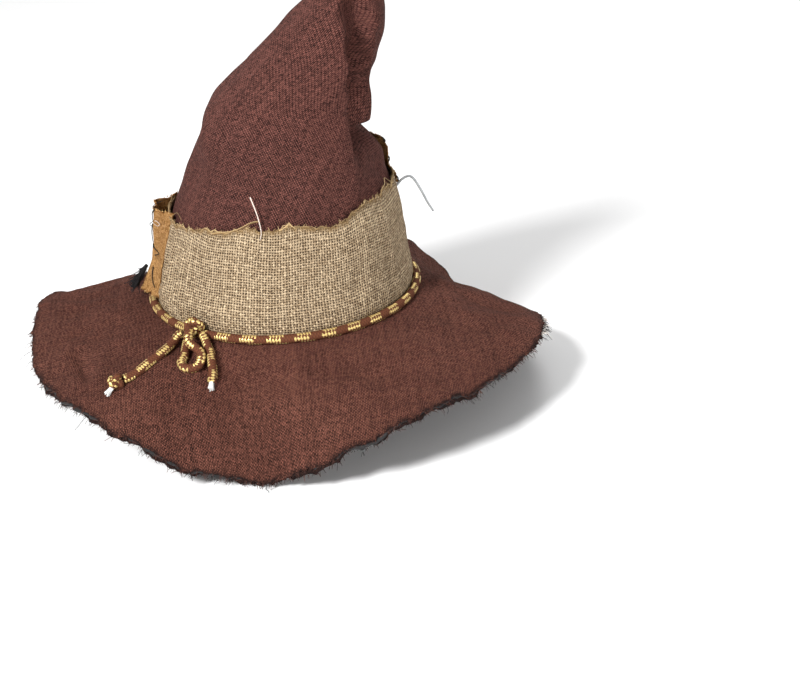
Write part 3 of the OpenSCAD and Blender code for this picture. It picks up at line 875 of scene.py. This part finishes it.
def crown_place(a, v, lift=0.0):
    """The crown cloth at angle a and height v up the cone, with its ridge, hollow, fold and creases."""
    a, v = np.broadcast_arrays(np.asarray(a, float), np.asarray(v, float))
    r = radius(v)
    to_ridge = turn(a, along(RIDGE_LINE, v))
    r_share = np.clip(r / 48, 0.2, 1)
    ridge_width = np.where(to_ridge < 0, 32, 4)
    ridge = along(RIDGE_HEIGHT, v) * np.exp(-(to_ridge / ridge_width) ** 2)
    hollow = -along(HOLLOW_DEPTH, v) * ease(to_ridge, -1, 13) * (1 - ease(to_ridge, 29, 50))
    roll = along(ROLL_HEIGHT, v) * np.exp(-((to_ridge - 54) / 15) ** 2)
    side = ease(to_ridge, 0, 9) * (1 - ease(turn(a, -22), 22, 62))
    tuck = -10.5 * side * hill(v, 125.5, 6.5) + 2.2 * side * hill(v, 146, 8)
    pleat = -3.2 * side * hill(v + 0.12 * to_ridge, 168, 4.5) * (1 - ease(to_ridge, 30, 55))
    shoulder = 2.2 * side * hill(v, 106, 9) + 6.0 * hill_at(a, 203, 38) * hill(v, 131, 15)
    r = r + (ridge + hollow + roll) * r_share + tuck + shoulder + pleat
    for (a0, v0), (a1, v1), width, depth in CROWN_CREASES:
        across = turn(a, (a0 + a1) / 2) * MM_PER_DEGREE
        half = (a1 - a0) / 2 * MM_PER_DEGREE
        r = r + crease(across, v, (-half, v0), (half, v1), width, depth)
    place = from_polar(r + lift, a, v, lean(v))
    loose = along(((0, 0), (70, 0.15), (110, 1), (240, 1), (279, 0.2)), v)
    place = pushed(place, a, ripple(place, 3, 46, 16, 62, 1.5) * loose)
    seam = turn(a, SEAM_ANGLE) * math.pi / 180 * radius(v)
    ridges = 0.7 * hill(seam, 2.4, 1.3) + 0.7 * hill(seam, -2.4, 1.3)
    place = pushed(place, a, ridges - 0.8 * hill(seam, 0, 0.9))
    place[..., 2] -= 8.5 * side * hill(v, 139.5, 6.5)
    return place


CUT_SLOPE = 1.06       # length of the crown's side for each mm of its height
CUT_ALLOWANCE = 6.0    # past the tip and at the seams


def flat_on_cone(a, v):
    """Where a point of the crown lies in the flat cut of its cloth, so that the weave runs as it was cut."""
    far_down = (CROWN_H - v) * CUT_SLOPE + CUT_ALLOWANCE
    opened = turn(a, -90) * math.pi / 180 * BASE_R / (CROWN_H * CUT_SLOPE) + 0.35
    return np.stack([far_down * np.sin(opened), -far_down * np.cos(opened), 0 * far_down], -1) * MM


def make_crown():
    columns = 330
    v = np.concatenate([np.linspace(0, 100, 46)[:-1], np.linspace(100, 160, 66)[:-1],
                        np.linspace(160, CROWN_H, 84)])
    A, V = np.meshgrid(SEAM_ANGLE + np.linspace(0, 360, columns), v)
    crown = make_mesh("crown_cloth", crown_place(A, V), grid_faces(len(v), columns), None,
                      CROWN_CLOTH, {"cloth": flat_on_cone(A, V).reshape(-1, 3), "edge": np.zeros(A.size)})
    lean(FOLD_H) * MM
    lean(FOLD_H) * MM
    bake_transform(crown)
    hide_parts("crown_lower", "fold_neck", "crown_peak")
    tip_threads()


def tip_threads():
    """A few loose threads where the cloth is gathered at the tip."""
    rng = np.random.RandomState(12)
    top = crown_place(np.linspace(0, 330, 12), np.full(12, CROWN_H - 2.0))
    routes, widths = [], []
    for k in range(12):
        way = unit(top[k] - top.mean(0) + (0, 0, 2.5)) + rng.normal(size=3) * 0.3
        t = np.linspace(0, 1, 5)[:, None]
        routes.append(top[k] + way * t * (2 + 3 * rng.rand()) + np.array((0, 0, -1.5)) * t**2)
        widths.append(0.4)
    thread_piece("tip_threads", routes, widths, "peak", BROWN_FRAY)


# ---------------------------------------------------------------- brim
BRIM_CREASES = (      # start and end on the flat brim in mm, width, depth
    ((-163, -58), (-146, -112), 5, 3.4), ((-176, -40), (-150, -30), 6, 1.6),
    ((-54, -98), (-38, -140), 7, 3.4),
    ((-80, -112), (-98, -150), 8, 2.4), ((128, 30), (128, -46), 9, -2.6),
    ((118, -20), (186, -44), 11, 2.6), ((88, -70), (140, -118), 12, -2.2), ((40, -112), (66, -168), 12, 2.0),
    ((-6, -118), (-2, -170), 14, -1.8), ((-130, 20), (-190, 36), 9, 1.8), ((-100, 90), (-120, 150), 12, -2.4),
    ((-20, 110), (-40, 180), 12, 2.6), ((60, 110), (84, 165), 12, 2.2), ((20, 116), (30, 176), 10, -2.0),
    ((-120, -60), (-140, -70), 9, -1.6))


def ragged(a, seed):
    """How far the raw edge runs in and out round the brim."""
    rng = np.random.RandomState(seed)
    a = np.radians(np.asarray(a, float))
    total = 0
    for k, size in ((5, 0.8), (11, 0.7), (23, 0.6), (47, 0.5), (83, 0.45), (151, 0.4), (233, 0.35)):
        total = total + size * np.cos(k * a + rng.rand() * 7)
    return total


BRIM_STACK = 4.1       # the three layers and the gaps between them


def brim_place(a, s, lift=0.0, seed=5):
    """The brim at angle a and share s of its width."""
    a, s = np.broadcast_arrays(np.asarray(a, float), np.asarray(s, float))
    full = reach(a) - 6.5 * hill_at(a, 184, 20)
    s = s + ragged(a, seed) * np.clip(s - 0.75, 0, 1) * 4 / full
    place = from_polar(BASE_R + s * full, a, -droop(a) * np.clip(s, 0, None) ** 1.3)
    flat = from_polar(BASE_R + s * BRIM_W, a, 0 * s)
    free = np.clip(s * 2.2, 0, 1)
    calm = 1 - 0.8 * hill_at(a, 46, 26)
    rise = ripple(flat, 8, 50, 22, 85, 2.8) * calm + 0.6 * ripple(flat, 9, 30, 9, 22, 1.0)
    for (x0, y0), (x1, y1), width, depth in BRIM_CREASES:
        rise = rise + crease(flat[..., 0], flat[..., 1], (x0, y0), (x1, y1), width, depth * 1.5)
    edge_curl = 1.6 * np.clip((s - 0.9) * 10, 0, 1) ** 2 * ripple(flat, 11, 12, 14, 40, 1.0)
    place[..., 2] += (rise + edge_curl) * free
    place[..., 2] = np.maximum(place[..., 2], FLOOR_Z / MM + BRIM_STACK) + lift
    return place


def make_brim():
    columns = 540
    shares = np.concatenate([[-0.075, -0.03], np.linspace(0, 1, 62)])
    A, S = np.meshgrid(np.linspace(0, 360, columns, endpoint=False), shares)
    flat = from_polar(BASE_R + S * BRIM_W, A, 0 * S).reshape(-1, 3) * MM
    edge = np.clip((S - 0.965) / 0.035, 0, 1).ravel()
    faces = grid_faces(len(shares), columns, True)
    layers = (("brim_top_cloth", "brim_top", BRIM_CLOTH, "brown_cloth", 0.0, 5, BRIM_T, 0.0),
              ("brim_backing", "brim_stiffener", BACKING, "black_backing", -1.55, 6, BACKING_T, 0.008),
              ("brim_underside_cloth", "brim_underside", UNDER_CLOTH, "dark_cloth", -3.0, 7, BRIM_T, 0.0))
    for name, node, finish, slot, lift, seed, thickness, inset in layers:
        points = brim_place(A, S - inset * (S > 0.9), lift, seed)
        layer = make_mesh(name, points, faces, "hat", finish, {"cloth": flat, "edge": edge})
        thicken(layer, thickness, -1.0)
        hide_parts(node)
    fray_brim()


def edge_frames(seed, lift, n=1440):
    a = np.linspace(0, 360, n, endpoint=False)
    edge = brim_place(a, np.ones(n), lift, seed)
    outward = unit(edge - brim_place(a, np.full(n, 0.96), lift, seed))
    return a, edge, outward


DOWN = np.array((0, 0, -1.0))
BRIM_FRAYS = (        # piece, edge's pattern and height, draws, count, shortest, longest, spread, sag
    ("brim_fray_brown", 5, -0.4, 21, 1500, 1.0, 5.5, 0.55, 0.5, "brown_cloth", BROWN_FRAY),
    ("brim_fray_black", 6, -1.9, 22, 900, 0.8, 5.0, 0.8, 0.9, "black_backing", BLACK_THREAD),
    ("underside_fray", 7, -3.4, 23, 900, 1.0, 5.0, 0.55, 0.7, "dark_cloth", BROWN_FRAY))


def fray_brim():
    for name, pattern, lift, seed, count, shortest, longest, spread, sag, slot, finish in BRIM_FRAYS:
        _, edge, outward = edge_frames(pattern, lift)
        routes, widths = fray(edge, outward, DOWN, seed, count, shortest, longest, spread, sag)
        thread_piece(name, routes, widths, "hat", finish)
    a, edge, outward = edge_frames(5, -0.6)
    floor = FLOOR_Z / MM
    rng = np.random.RandomState(24)
    routes, widths = [], []
    for angle, length, side in ((183, 9, 0.9), (187, 8, -0.5), (192, 12, 0.6), (196, 9, 0.9), (224, 13, 0.5),
                                (262, 12, -0.4), (300, 8, 0.5), (340, 10, -0.7), (20, 11, 0.6), (66, 9, -0.6),
                                (101, 12, 0.5), (140, 9, 0.8)):
        i = int(angle / 360 * len(a))
        t = np.linspace(0, 1, 9)[:, None]
        sideways = np.cross(outward[i], (0, 0, 1)) * side
        bent = sideways * t**2 * length * 0.6 + DOWN * t**2 * length * 0.5
        route = edge[i] + outward[i] * t * length * 0.8 + bent
        route = route + np.cumsum(rng.normal(size=(9, 3)) * 0.25, axis=0)
        route[:, 2] = np.maximum(route[:, 2], floor + 0.6)
        routes.append(route)
        widths.append(0.55)
    thread_piece("brim_stray_threads", routes, widths, "hat", BLACK_THREAD)
    near_tip = (a > 337) & (a < 351)
    for name, seed, count, slot, finish in (("pale_tuft_right", 25, 80, "brown_cloth", PALE_FRAY),
                                            ("dark_tuft_right", 26, 90, "black_backing", BLACK_THREAD)):
        routes, widths = fray(edge[near_tip], outward[near_tip], DOWN, seed, count, 3.0, 9.0, 1.0, 0.4, 0.15)
        thread_piece(name, routes, widths, "hat", finish)


# ---------------------------------------------------------------- linen band
BAND_SEAM = 96.0       # direction of its seam


def band_top(a):
    return BAND_H + BAND_RISE * (1 + np.cos(np.radians(np.asarray(a) - 352))) / 2


def band_edge(a):
    """The frayed top edge wanders, with dips and one pulled corner."""
    a = np.asarray(a, float)
    wander = sum(size * np.cos(np.radians(k * a + 47 * k)) for k, size in (
        (7, 1.0), (17, 0.8), (41, 0.6), (67, 0.45), (103, 0.4), (151, 0.3)))
    dips = sum(size * hill_at(a, angle, spread) for angle, spread, size in (
        (293, 9, -5.5), (206, 7, -3.2), (243, 12, 2.5), (332, 12, 1.5)))
    return band_top(a) + wander + dips


GATHERS = (            # direction, width and size of each small pleat
    (206, 2.0, 2.2), (211, 1.6, 1.7), (215.5, 1.8, 2.0), (220, 1.7, 1.2), (199, 2.2, 1.6), (327, 2.5, 1.0),
    (12, 3, 1.2), (58, 3, 1.3), (84, 2.6, 1.6), (109, 2.6, 1.6), (150, 3, 1.4))


def band_place(a, share, lift=0.0):
    a, share = np.broadcast_arrays(np.asarray(a, float), np.asarray(share, float))
    v = 0.8 + (band_edge(a) - 0.8) * share
    off = BAND_OFF + lift + 0.4
    gathers = sum(size * hill_at(a + 6 * (share - 0.5), angle, spread) for angle, spread, size in GATHERS)
    gathers = gathers * np.clip(1.15 - np.abs(share - 0.45) * 1.4, 0, 1)
    pinch = -1.0 * hill(v, 3, 5) + 0.8 * hill(v, 14, 9)
    lip = 0.7 * np.clip((share - 0.95) / 0.05, 0, 1) ** 2
    place = crown_place(a, v)
    flat = from_polar(60, a, v)
    push = off + gathers + pinch + lip + ripple(flat, 31, 40, 9, 45, 0.95) * np.clip(share * 5, 0, 1)
    return pushed(place, a, push)


def make_band():
    columns, rows = 720, 66
    A, S = np.meshgrid(BAND_SEAM + np.linspace(0, 366, columns), np.linspace(0, 1, rows))
    lap = np.clip((A - BAND_SEAM - 357) / 6, 0, 1)
    points = pushed(band_place(A, S), A, lap * 1.3)
    v = band_edge(A) * S
    pull = 2.0 * np.sin(np.radians(A * 3)) * S + 1.2 * np.cos(np.radians(A * 11)) * S
    cloth = np.stack([np.radians(A) * 88 + 0 * S, v + pull, 0 * S], -1).reshape(-1, 3) * MM
    edge = (np.clip((S - 0.95) / 0.05, 0, 1) * 0.9 + 0.5 * np.clip(1 - S * 14, 0, 1)).ravel()
    band = make_mesh("linen_band", points, grid_faces(rows, columns), "hat", LINEN,
                     {"cloth": cloth, "edge": edge})
    thicken(band, 0.9, 1.0)
    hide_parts("hat_band")
    fray_band()


# Each thread's smoothness and points: on the band by angle, share of its height and lift, and on the
# crown by angle, height and lift
PULLED_THREADS = (
    (6, ("band", 231, 0.99, 0.5), ("band", 236, 1.0, 1.2), ("crown", 241.5, 78, 3.4),
     ("crown", 246.5, 81, 3.6), ("crown", 251, 84.5, 3.8), ("crown", 255.5, 86, 4.0)),
    (6, ("crown", 249.5, 102, 5.0), ("crown", 251.5, 98, 4.9), ("crown", 254, 92, 4.6),
     ("crown", 256, 85, 4.6), ("crown", 257, 79, 4.4), ("band", 256.5, 0.94, 1.2)),
    (5, ("band", 198, 1.0, 0.8), ("crown", 196, 74, 4.5), ("crown", 200, 79, 3.5), ("crown", 206, 76, 2.5)),
    (5, ("band", 330, 1.0, 0.5), ("crown", 336, 90, 3.5), ("crown", 341, 92, 3.0), ("band", 347, 1.0, 0.8)))


def pulled_thread(steps, *places):
    lies_on = {"band": band_place, "crown": crown_place}
    return smooth_route([lies_on[where](a, height, lift) for where, a, height, lift in places], steps)


def fray_band():
    n = 1300
    a = np.linspace(BAND_SEAM, BAND_SEAM + 360, n)
    edge = band_place(a, np.full(n, 1.0), 0.4)
    upward = unit(edge - band_place(a, np.full(n, 0.96), 0.2) + from_polar(0.25, a, 0 * a))
    routes, widths = fray(edge, upward, DOWN, 41, 1500, 0.7, 4.2, 0.8, 0.2)
    rng = np.random.RandomState(42)
    for _ in range(130):
        i = rng.randint(n - 60)
        span = rng.randint(14, 55)
        k = np.linspace(i, i + span, 8).astype(int)
        bow = np.sin(np.linspace(0, math.pi, 8))[:, None]
        lifted = edge[k] + upward[k] * (0.3 + 2.4 * rng.rand() ** 2) * bow
        routes.append(lifted + from_polar(1, a[k], 0 * k) * bow * 0.8 + rng.normal(size=(8, 3)) * 0.12)
        widths.append(0.5 + 0.25 * rng.rand())
    foot = band_place(a, np.full(n, 0.0), 0.4)
    more, more_widths = fray(foot, unit(from_polar(1, a, -0.5 + 0 * a)), DOWN, 43, 260, 0.8, 3.0, 0.9, 0.5)
    whiskers = thread_piece("band_whiskers", routes + more, widths + more_widths, "hat", LINEN_FRAY)
    rolled, loose, corner, right = [pulled_thread(*row) for row in PULLED_THREADS]
    pulls = thread_piece("pulled_linen_threads", [rolled, rolled + (0.4, -0.5, 0.9), corner, right],
                         [1.3, 0.9, 0.6, 0.6], "hat", LINEN_FRAY)
    pale = thread_piece("pulled_pale_thread", [loose], [1.15], "hat", PALE_FRAY)


# ---------------------------------------------------------------- patches and sewing
PATCH_LEFT_FROM, PATCH_LEFT_SPAN = 195, 31
PATCH_RIGHT_FROM, PATCH_RIGHT_SPAN = 8, 34
PATCH_FOOT = 10.0
PATCH_LEFT_H = 66.0
PATCH_RIGHT_H = 40.0
PATCH_PUFF = 13.0
FOOT_PUFF = 11.0


def left_patch_place(u, v, lift=0.0):
    """The left patch: its front and back edges lie on the band and a loose fold stands out between them."""
    u, v = np.broadcast_arrays(np.asarray(u, float), np.asarray(v, float))
    inside = np.clip(u, 0, 1)
    a = PATCH_LEFT_FROM - PATCH_LEFT_SPAN * u
    z = PATCH_FOOT + PATCH_LEFT_H * v
    puff = np.sin(math.pi * inside) ** 1.2 * (PATCH_PUFF * v * v + FOOT_PUFF * np.clip(1 - v, 0, None) ** 3)
    fold = 1.8 * np.sin(5.5 * math.pi * inside + 2.2 * v) * np.sin(math.pi * inside) * (0.3 + v)
    out = BAND_OFF + LAYER_GAP + 1.9 + lift + puff + fold
    place = from_polar(radius(z) + out, a, z, lean(z))
    return pushed(place, a, ripple(place, 51, 30, 7, 26, 0.8))


def right_patch_place(u, v, lift=0.0):
    """The right patch laps over the band's top and runs up the back of the crown."""
    u, v = np.broadcast_arrays(np.asarray(u, float), np.asarray(v, float))
    a = PATCH_RIGHT_FROM + PATCH_RIGHT_SPAN * u
    z = band_top(a) - PATCH_LAP + PATCH_RIGHT_H * v
    over_band = np.clip((band_edge(a) + 2 - z) / 4, 0, 1)
    out = LAYER_GAP + 1.0 + lift + over_band * (BAND_OFF + 1.2)
    place = pushed(crown_place(a, z), a, out)
    front_lip = 2.6 * hill(u, -0.05, 0.12) * (0.4 + v)
    return pushed(place, a, ripple(place, 52, 30, 7, 26, 0.7) + front_lip)


def make_patch(name, node, place, flat, columns, rows, seed):
    rng = np.random.RandomState(seed)
    U, V = np.meshgrid(np.linspace(0, 1, columns), np.linspace(0, 1, rows))
    wob_u = 0.012 * np.interp(np.arange(rows), np.linspace(0, rows - 1, 26), rng.normal(size=26))
    wob_v = 0.01 * np.interp(np.arange(columns), np.linspace(0, columns - 1, 26), rng.normal(size=26))
    U2 = U + wob_u[:, None] * (2 * U - 1)
    V2 = V + wob_v[None, :] * (2 * V - 1)
    near_edge = np.minimum(np.minimum(U, 1 - U) * flat[0], np.minimum(V, 1 - V) * flat[1])
    cloth = np.stack([U * flat[0] + V * 6, V * flat[1] - U * 4, 0 * U], -1).reshape(-1, 3) * MM
    patch = make_mesh(name, place(U2, V2), grid_faces(rows, columns), "hat", PATCH_CLOTH,
                      {"cloth": cloth, "edge": np.clip(1 - near_edge / 1.6, 0, 1).ravel()})
    thicken(patch, PATCH_T, 1.0)
    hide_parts(node)
    t = np.linspace(0.01, 0.99, 160)
    borders = ((0 * t, t, (-0.05, 0)), (0 * t + 1, t, (0.05, 0)),
               (t, 0 * t, (0, -0.03)), (t, 0 * t + 1, (0, 0.03)))
    routes, widths = [], []
    for k, (u, v, (du, dv)) in enumerate(borders):
        edge = place(u, v, 0.4)
        outward = unit(place(u + du, v + dv, 0.6) - edge)
        more, more_widths = fray(edge, outward, DOWN, seed + k, 80, 0.6, 2.8, 0.6, 0.3)
        routes += more
        widths += more_widths
    threads = thread_piece(name + "_fray", routes, widths, "hat", PATCH_FRAY)


def stitch(place, ends, sag=0.35, lift=1.6):
    """One sewing stitch over a patch: pinned at both ends and a little slack between."""
    (u0, v0), (u1, v1) = ends
    t = np.linspace(0, 1, 11)
    rise = np.sin(math.pi * t)
    u = u0 + (u1 - u0) * t + 0.02 * rise
    v = v0 + (v1 - v0) * t
    routes = [place(u[k], v[k], lift * (0.25 + sag * rise[k])) for k in range(11)]
    return np.array(routes)


LEFT_STITCHES = (((0.3, 1), (0.42, 0.82)), ((0.4, 0.8), (0.38, 0.58)), ((0.37, 0.56), (0.2, 0.48)),
                 ((0.44, 0.55), (0.5, 0.36)), ((0.3, 0.3), (0.12, 0.1)))
LEFT_THREAD_ENDS = (((0.3, 1), (0.2, 1.12)), ((0.2, 0.48), (0.26, 0.44)), ((0.42, 0.82), (0.34, 0.78)))
PALE_KNOT = ((0.3, 0.86, 1.2), (0.25, 0.87, 2.2), (0.2, 0.84, 1.8), (0.25, 0.81, 1.4), (0.32, 0.83, 1.4))


def make_patches():
    make_patch("golden_patch_left", "patch_left", left_patch_place, (60.0, 70.0), 96, 96, 60)
    make_patch("golden_patch_right", "patch_right", right_patch_place, (47.0, 40.0), 64, 56, 70)
    routes = [stitch(left_patch_place, ends) for ends in LEFT_STITCHES]
    routes += [stitch(left_patch_place, ends, 1.2) for ends in LEFT_THREAD_ENDS]
    widths = [1.0] * len(LEFT_STITCHES) + [0.7] * len(LEFT_THREAD_ENDS)
    sewing = thread_piece("black_stitches_left", routes, widths, "hat", BLACK_THREAD, 6)
    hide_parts("stitches_left")
    routes = [stitch(right_patch_place, ((start, v), (end, v + 0.07)), sag, lift)
              for start, end, sag, lift, rows in ((-0.1, 0.12, 0.5, 1.6, (0.08, 0.1, 0.5, 0.53, 0.9, 0.93)),
                                                  (0.8, 1.05, 0.6, 1.8, (0.1, 0.4, 0.7, 0.95)))
              for v in rows]
    widths = [1.1] * len(routes)
    sewing = thread_piece("black_stitches_right", routes, widths, "hat", BLACK_THREAD, 6)
    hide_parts("stitches_right")
    make_tuft()
    pale = smooth_route([left_patch_place(*spot) for spot in PALE_KNOT], 5)
    thread_piece("pale_knot_thread", [pale], [0.7], "hat", PALE_FRAY)


def make_tuft():
    """The fuzzy end of the black yarn that sews the left patch on."""
    rng = np.random.RandomState(80)
    spots = [left_patch_place(0.42 + 0.02 * k, 0.29 - 0.07 * k, 2.6 + 1.1 * k) for k in range(5)]
    spine = smooth_route(spots, 6)
    _, side, up = route_frames(spine)
    routes, widths = [], []
    for _ in range(230):
        start = rng.randint(0, len(spine) - 10)
        stop = min(start + rng.randint(8, 20), len(spine) - 1)
        k = np.linspace(start, stop, 7).astype(int)
        angle, out = rng.rand() * 7, 0.5 + 1.6 * rng.rand()
        t = np.linspace(0, 1, 7)[:, None]
        off = side[k] * math.cos(angle) + up[k] * math.sin(angle)
        routes.append(spine[k] + off * out * (0.6 + 1.3 * t**1.5) + rng.normal(size=3) * t**2 * 1.6)
        widths.append(0.5 + 0.3 * rng.rand())
    tuft = thread_piece("black_yarn_tuft", routes, widths, "hat", BLACK_THREAD)
    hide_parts("black_tuft")


# ---------------------------------------------------------------- tag fastener
TAG_PLACES = ((-1, 0, -1.5), (2, 0, 1), (6, 0, 5), (11, 0, 7), (15, 0, 4), (20, 0, -5), (25, 0, -16),
              (29, 0, -23))
TAG_DROP = 10          # its hole below the band's top


def make_tag_fastener():
    """The clear loop a price tag hung on: thin wire that widens to a flat paddle."""
    foot_z = float(band_top(0)) - TAG_DROP
    foot = np.array([float(lean(foot_z) + radius(foot_z)) + BAND_OFF, 0, foot_z])
    route = smooth_route([foot + p for p in TAG_PLACES], 10)
    _, side, up = route_frames(route)
    n, around = len(route), 12
    share = np.linspace(0, 1, n)
    wide = along(((0, 1.0), (0.4, 1.0), (0.6, 1.4), (0.8, 1.9), (0.94, 2.2), (1, 1.4)), share)
    thick = along(((0, 0.95), (0.45, 0.95), (0.7, 1.0), (1, 0.8)), share)
    angle = np.linspace(0, 2 * math.pi, around, endpoint=False)
    points = (route[:, None] + up[:, None] * (thick[:, None] * np.cos(angle))[..., None]
              + side[:, None] * (wide[:, None] * np.sin(angle))[..., None])
    ends = [list(range(around))[::-1], [(n - 1) * around + k for k in range(around)]]
    faces = [*grid_faces(n, around, True), *ends]
    fastener = make_mesh("tag_fastener_loop", points, faces, "hat", NYLON)
    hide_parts("tag_fastener")


# ---------------------------------------------------------------- inside of the hat
def make_lining():
    """Black backing inside the crown, one piece below the fold and one in the peak."""
    columns = 150
    for name, node, low, high in (("lower_lining", "crown_backing", 1.0, 118.0),
                                  ("peak_lining", "peak_backing", 136.0, 262.0)):
        v = np.linspace(low, high, 70)
        A, V = np.meshgrid(SEAM_ANGLE + np.linspace(0, 360, columns), v)
        points = crown_place(A, V, -(CLOTH_T + BACKING_T))
        lining = make_mesh(name, points, grid_faces(len(v), columns), None, BACKING,
                           {"cloth": flat_on_cone(A, V).reshape(-1, 3)})
        lean(FOLD_H) * MM
        lean(FOLD_H) * MM
        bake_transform(lining)
        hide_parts(node)


# The ribbon's section from its top inner edge down round the folded foot: out from the head, and height
RIBBON_SECTION = np.array((
    (0.0, 20.0), (0.0, 19.6), (0.05, 15.0), (0.1, 8.0), (0.05, 0.0), (0.0, -2.4), (0.3, -3.0), (0.85, -2.8),
    (1.0, -2.0), (0.95, 8.0), (0.95, 19.4), (0.6, 20.0)))
RIBBON_STITCHES = 150
STITCH_HEIGHT = 18.2


def make_sweatband():
    """The ribbon round the head opening, with its folded lower edge and a row of stitches."""
    columns, n = 720, len(RIBBON_SECTION)
    A, K = np.meshgrid(np.linspace(0, 360, columns, endpoint=False), np.arange(n), indexing="ij")
    out, z = RIBBON_SECTION[K, 0], RIBBON_SECTION[K, 1]
    points = from_polar(HEAD_R + out + 0.12 * np.cos(np.radians(A * 9)) * (out > 0.5), A, z)
    j, k = np.meshgrid(np.arange(columns), np.arange(n), indexing="ij")
    ahead, on = (j + 1) % columns, (k + 1) % n
    faces = np.stack([j * n + k, j * n + on, ahead * n + on, ahead * n + k], -1).reshape(-1, 4)
    cloth = np.stack([np.radians(A) * HEAD_R, z, 0 * z], -1).reshape(-1, 3) * MM
    ribbon = make_mesh("sweatband_ribbon", points, faces, "hat", SWEATBAND,
                       {"cloth": cloth})
    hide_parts("sweatband")
    inset = np.array([-0.15, 0.22, 0.22, -0.15])
    along_ribbon = np.array([0, 0.5, 1.0, 1.5])
    routes = [from_polar(HEAD_R - inset, k * 360 / RIBBON_STITCHES + along_ribbon, STITCH_HEIGHT)
              for k in range(RIBBON_STITCHES)]
    widths = [0.5] * len(routes)
    thread_piece("sweatband_stitches", routes, widths, "hat", BLACK_THREAD)


def make_label():
    """A blank satin care label sewn in at the back, curling a little at its free end."""
    width, height = 26.0, 34.0
    foot = 21.0
    columns, rows = 28, 44
    U, V = np.meshgrid(np.linspace(-0.5, 0.5, columns), np.linspace(0, 1, rows))
    z = foot + height * V * 0.985
    y = radius(z) - 2 - 3.2 - 1.1 * np.sin(V * math.pi * 1.2) + 0.9 * U * V
    points = np.stack([lean(foot) + U * width, y, z], -1)
    cloth = np.stack([U * width, V * height, 0 * U], -1).reshape(-1, 3) * MM
    label = make_mesh("blank_care_label", points, grid_faces(rows, columns), "hat", LABEL,
                      {"cloth": cloth})
    thicken(label, 0.3)
    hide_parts("care_label")
    one_stitch = np.array([(t, float(radius(foot)) - 5.6, foot + 1.6) for t in (0, 0.5, 1.0, 1.3)])
    routes = [one_stitch + (lean(foot) - 11 + k * 2.0, 0, 0) for k in range(11)]
    sewing = thread_piece("label_stitches", routes, [0.45] * len(routes), "hat", PALE_FRAY)


make_crown()
make_brim()
make_band()
make_patches()
make_tag_fastener()
make_lining()
make_sweatband()
make_label()
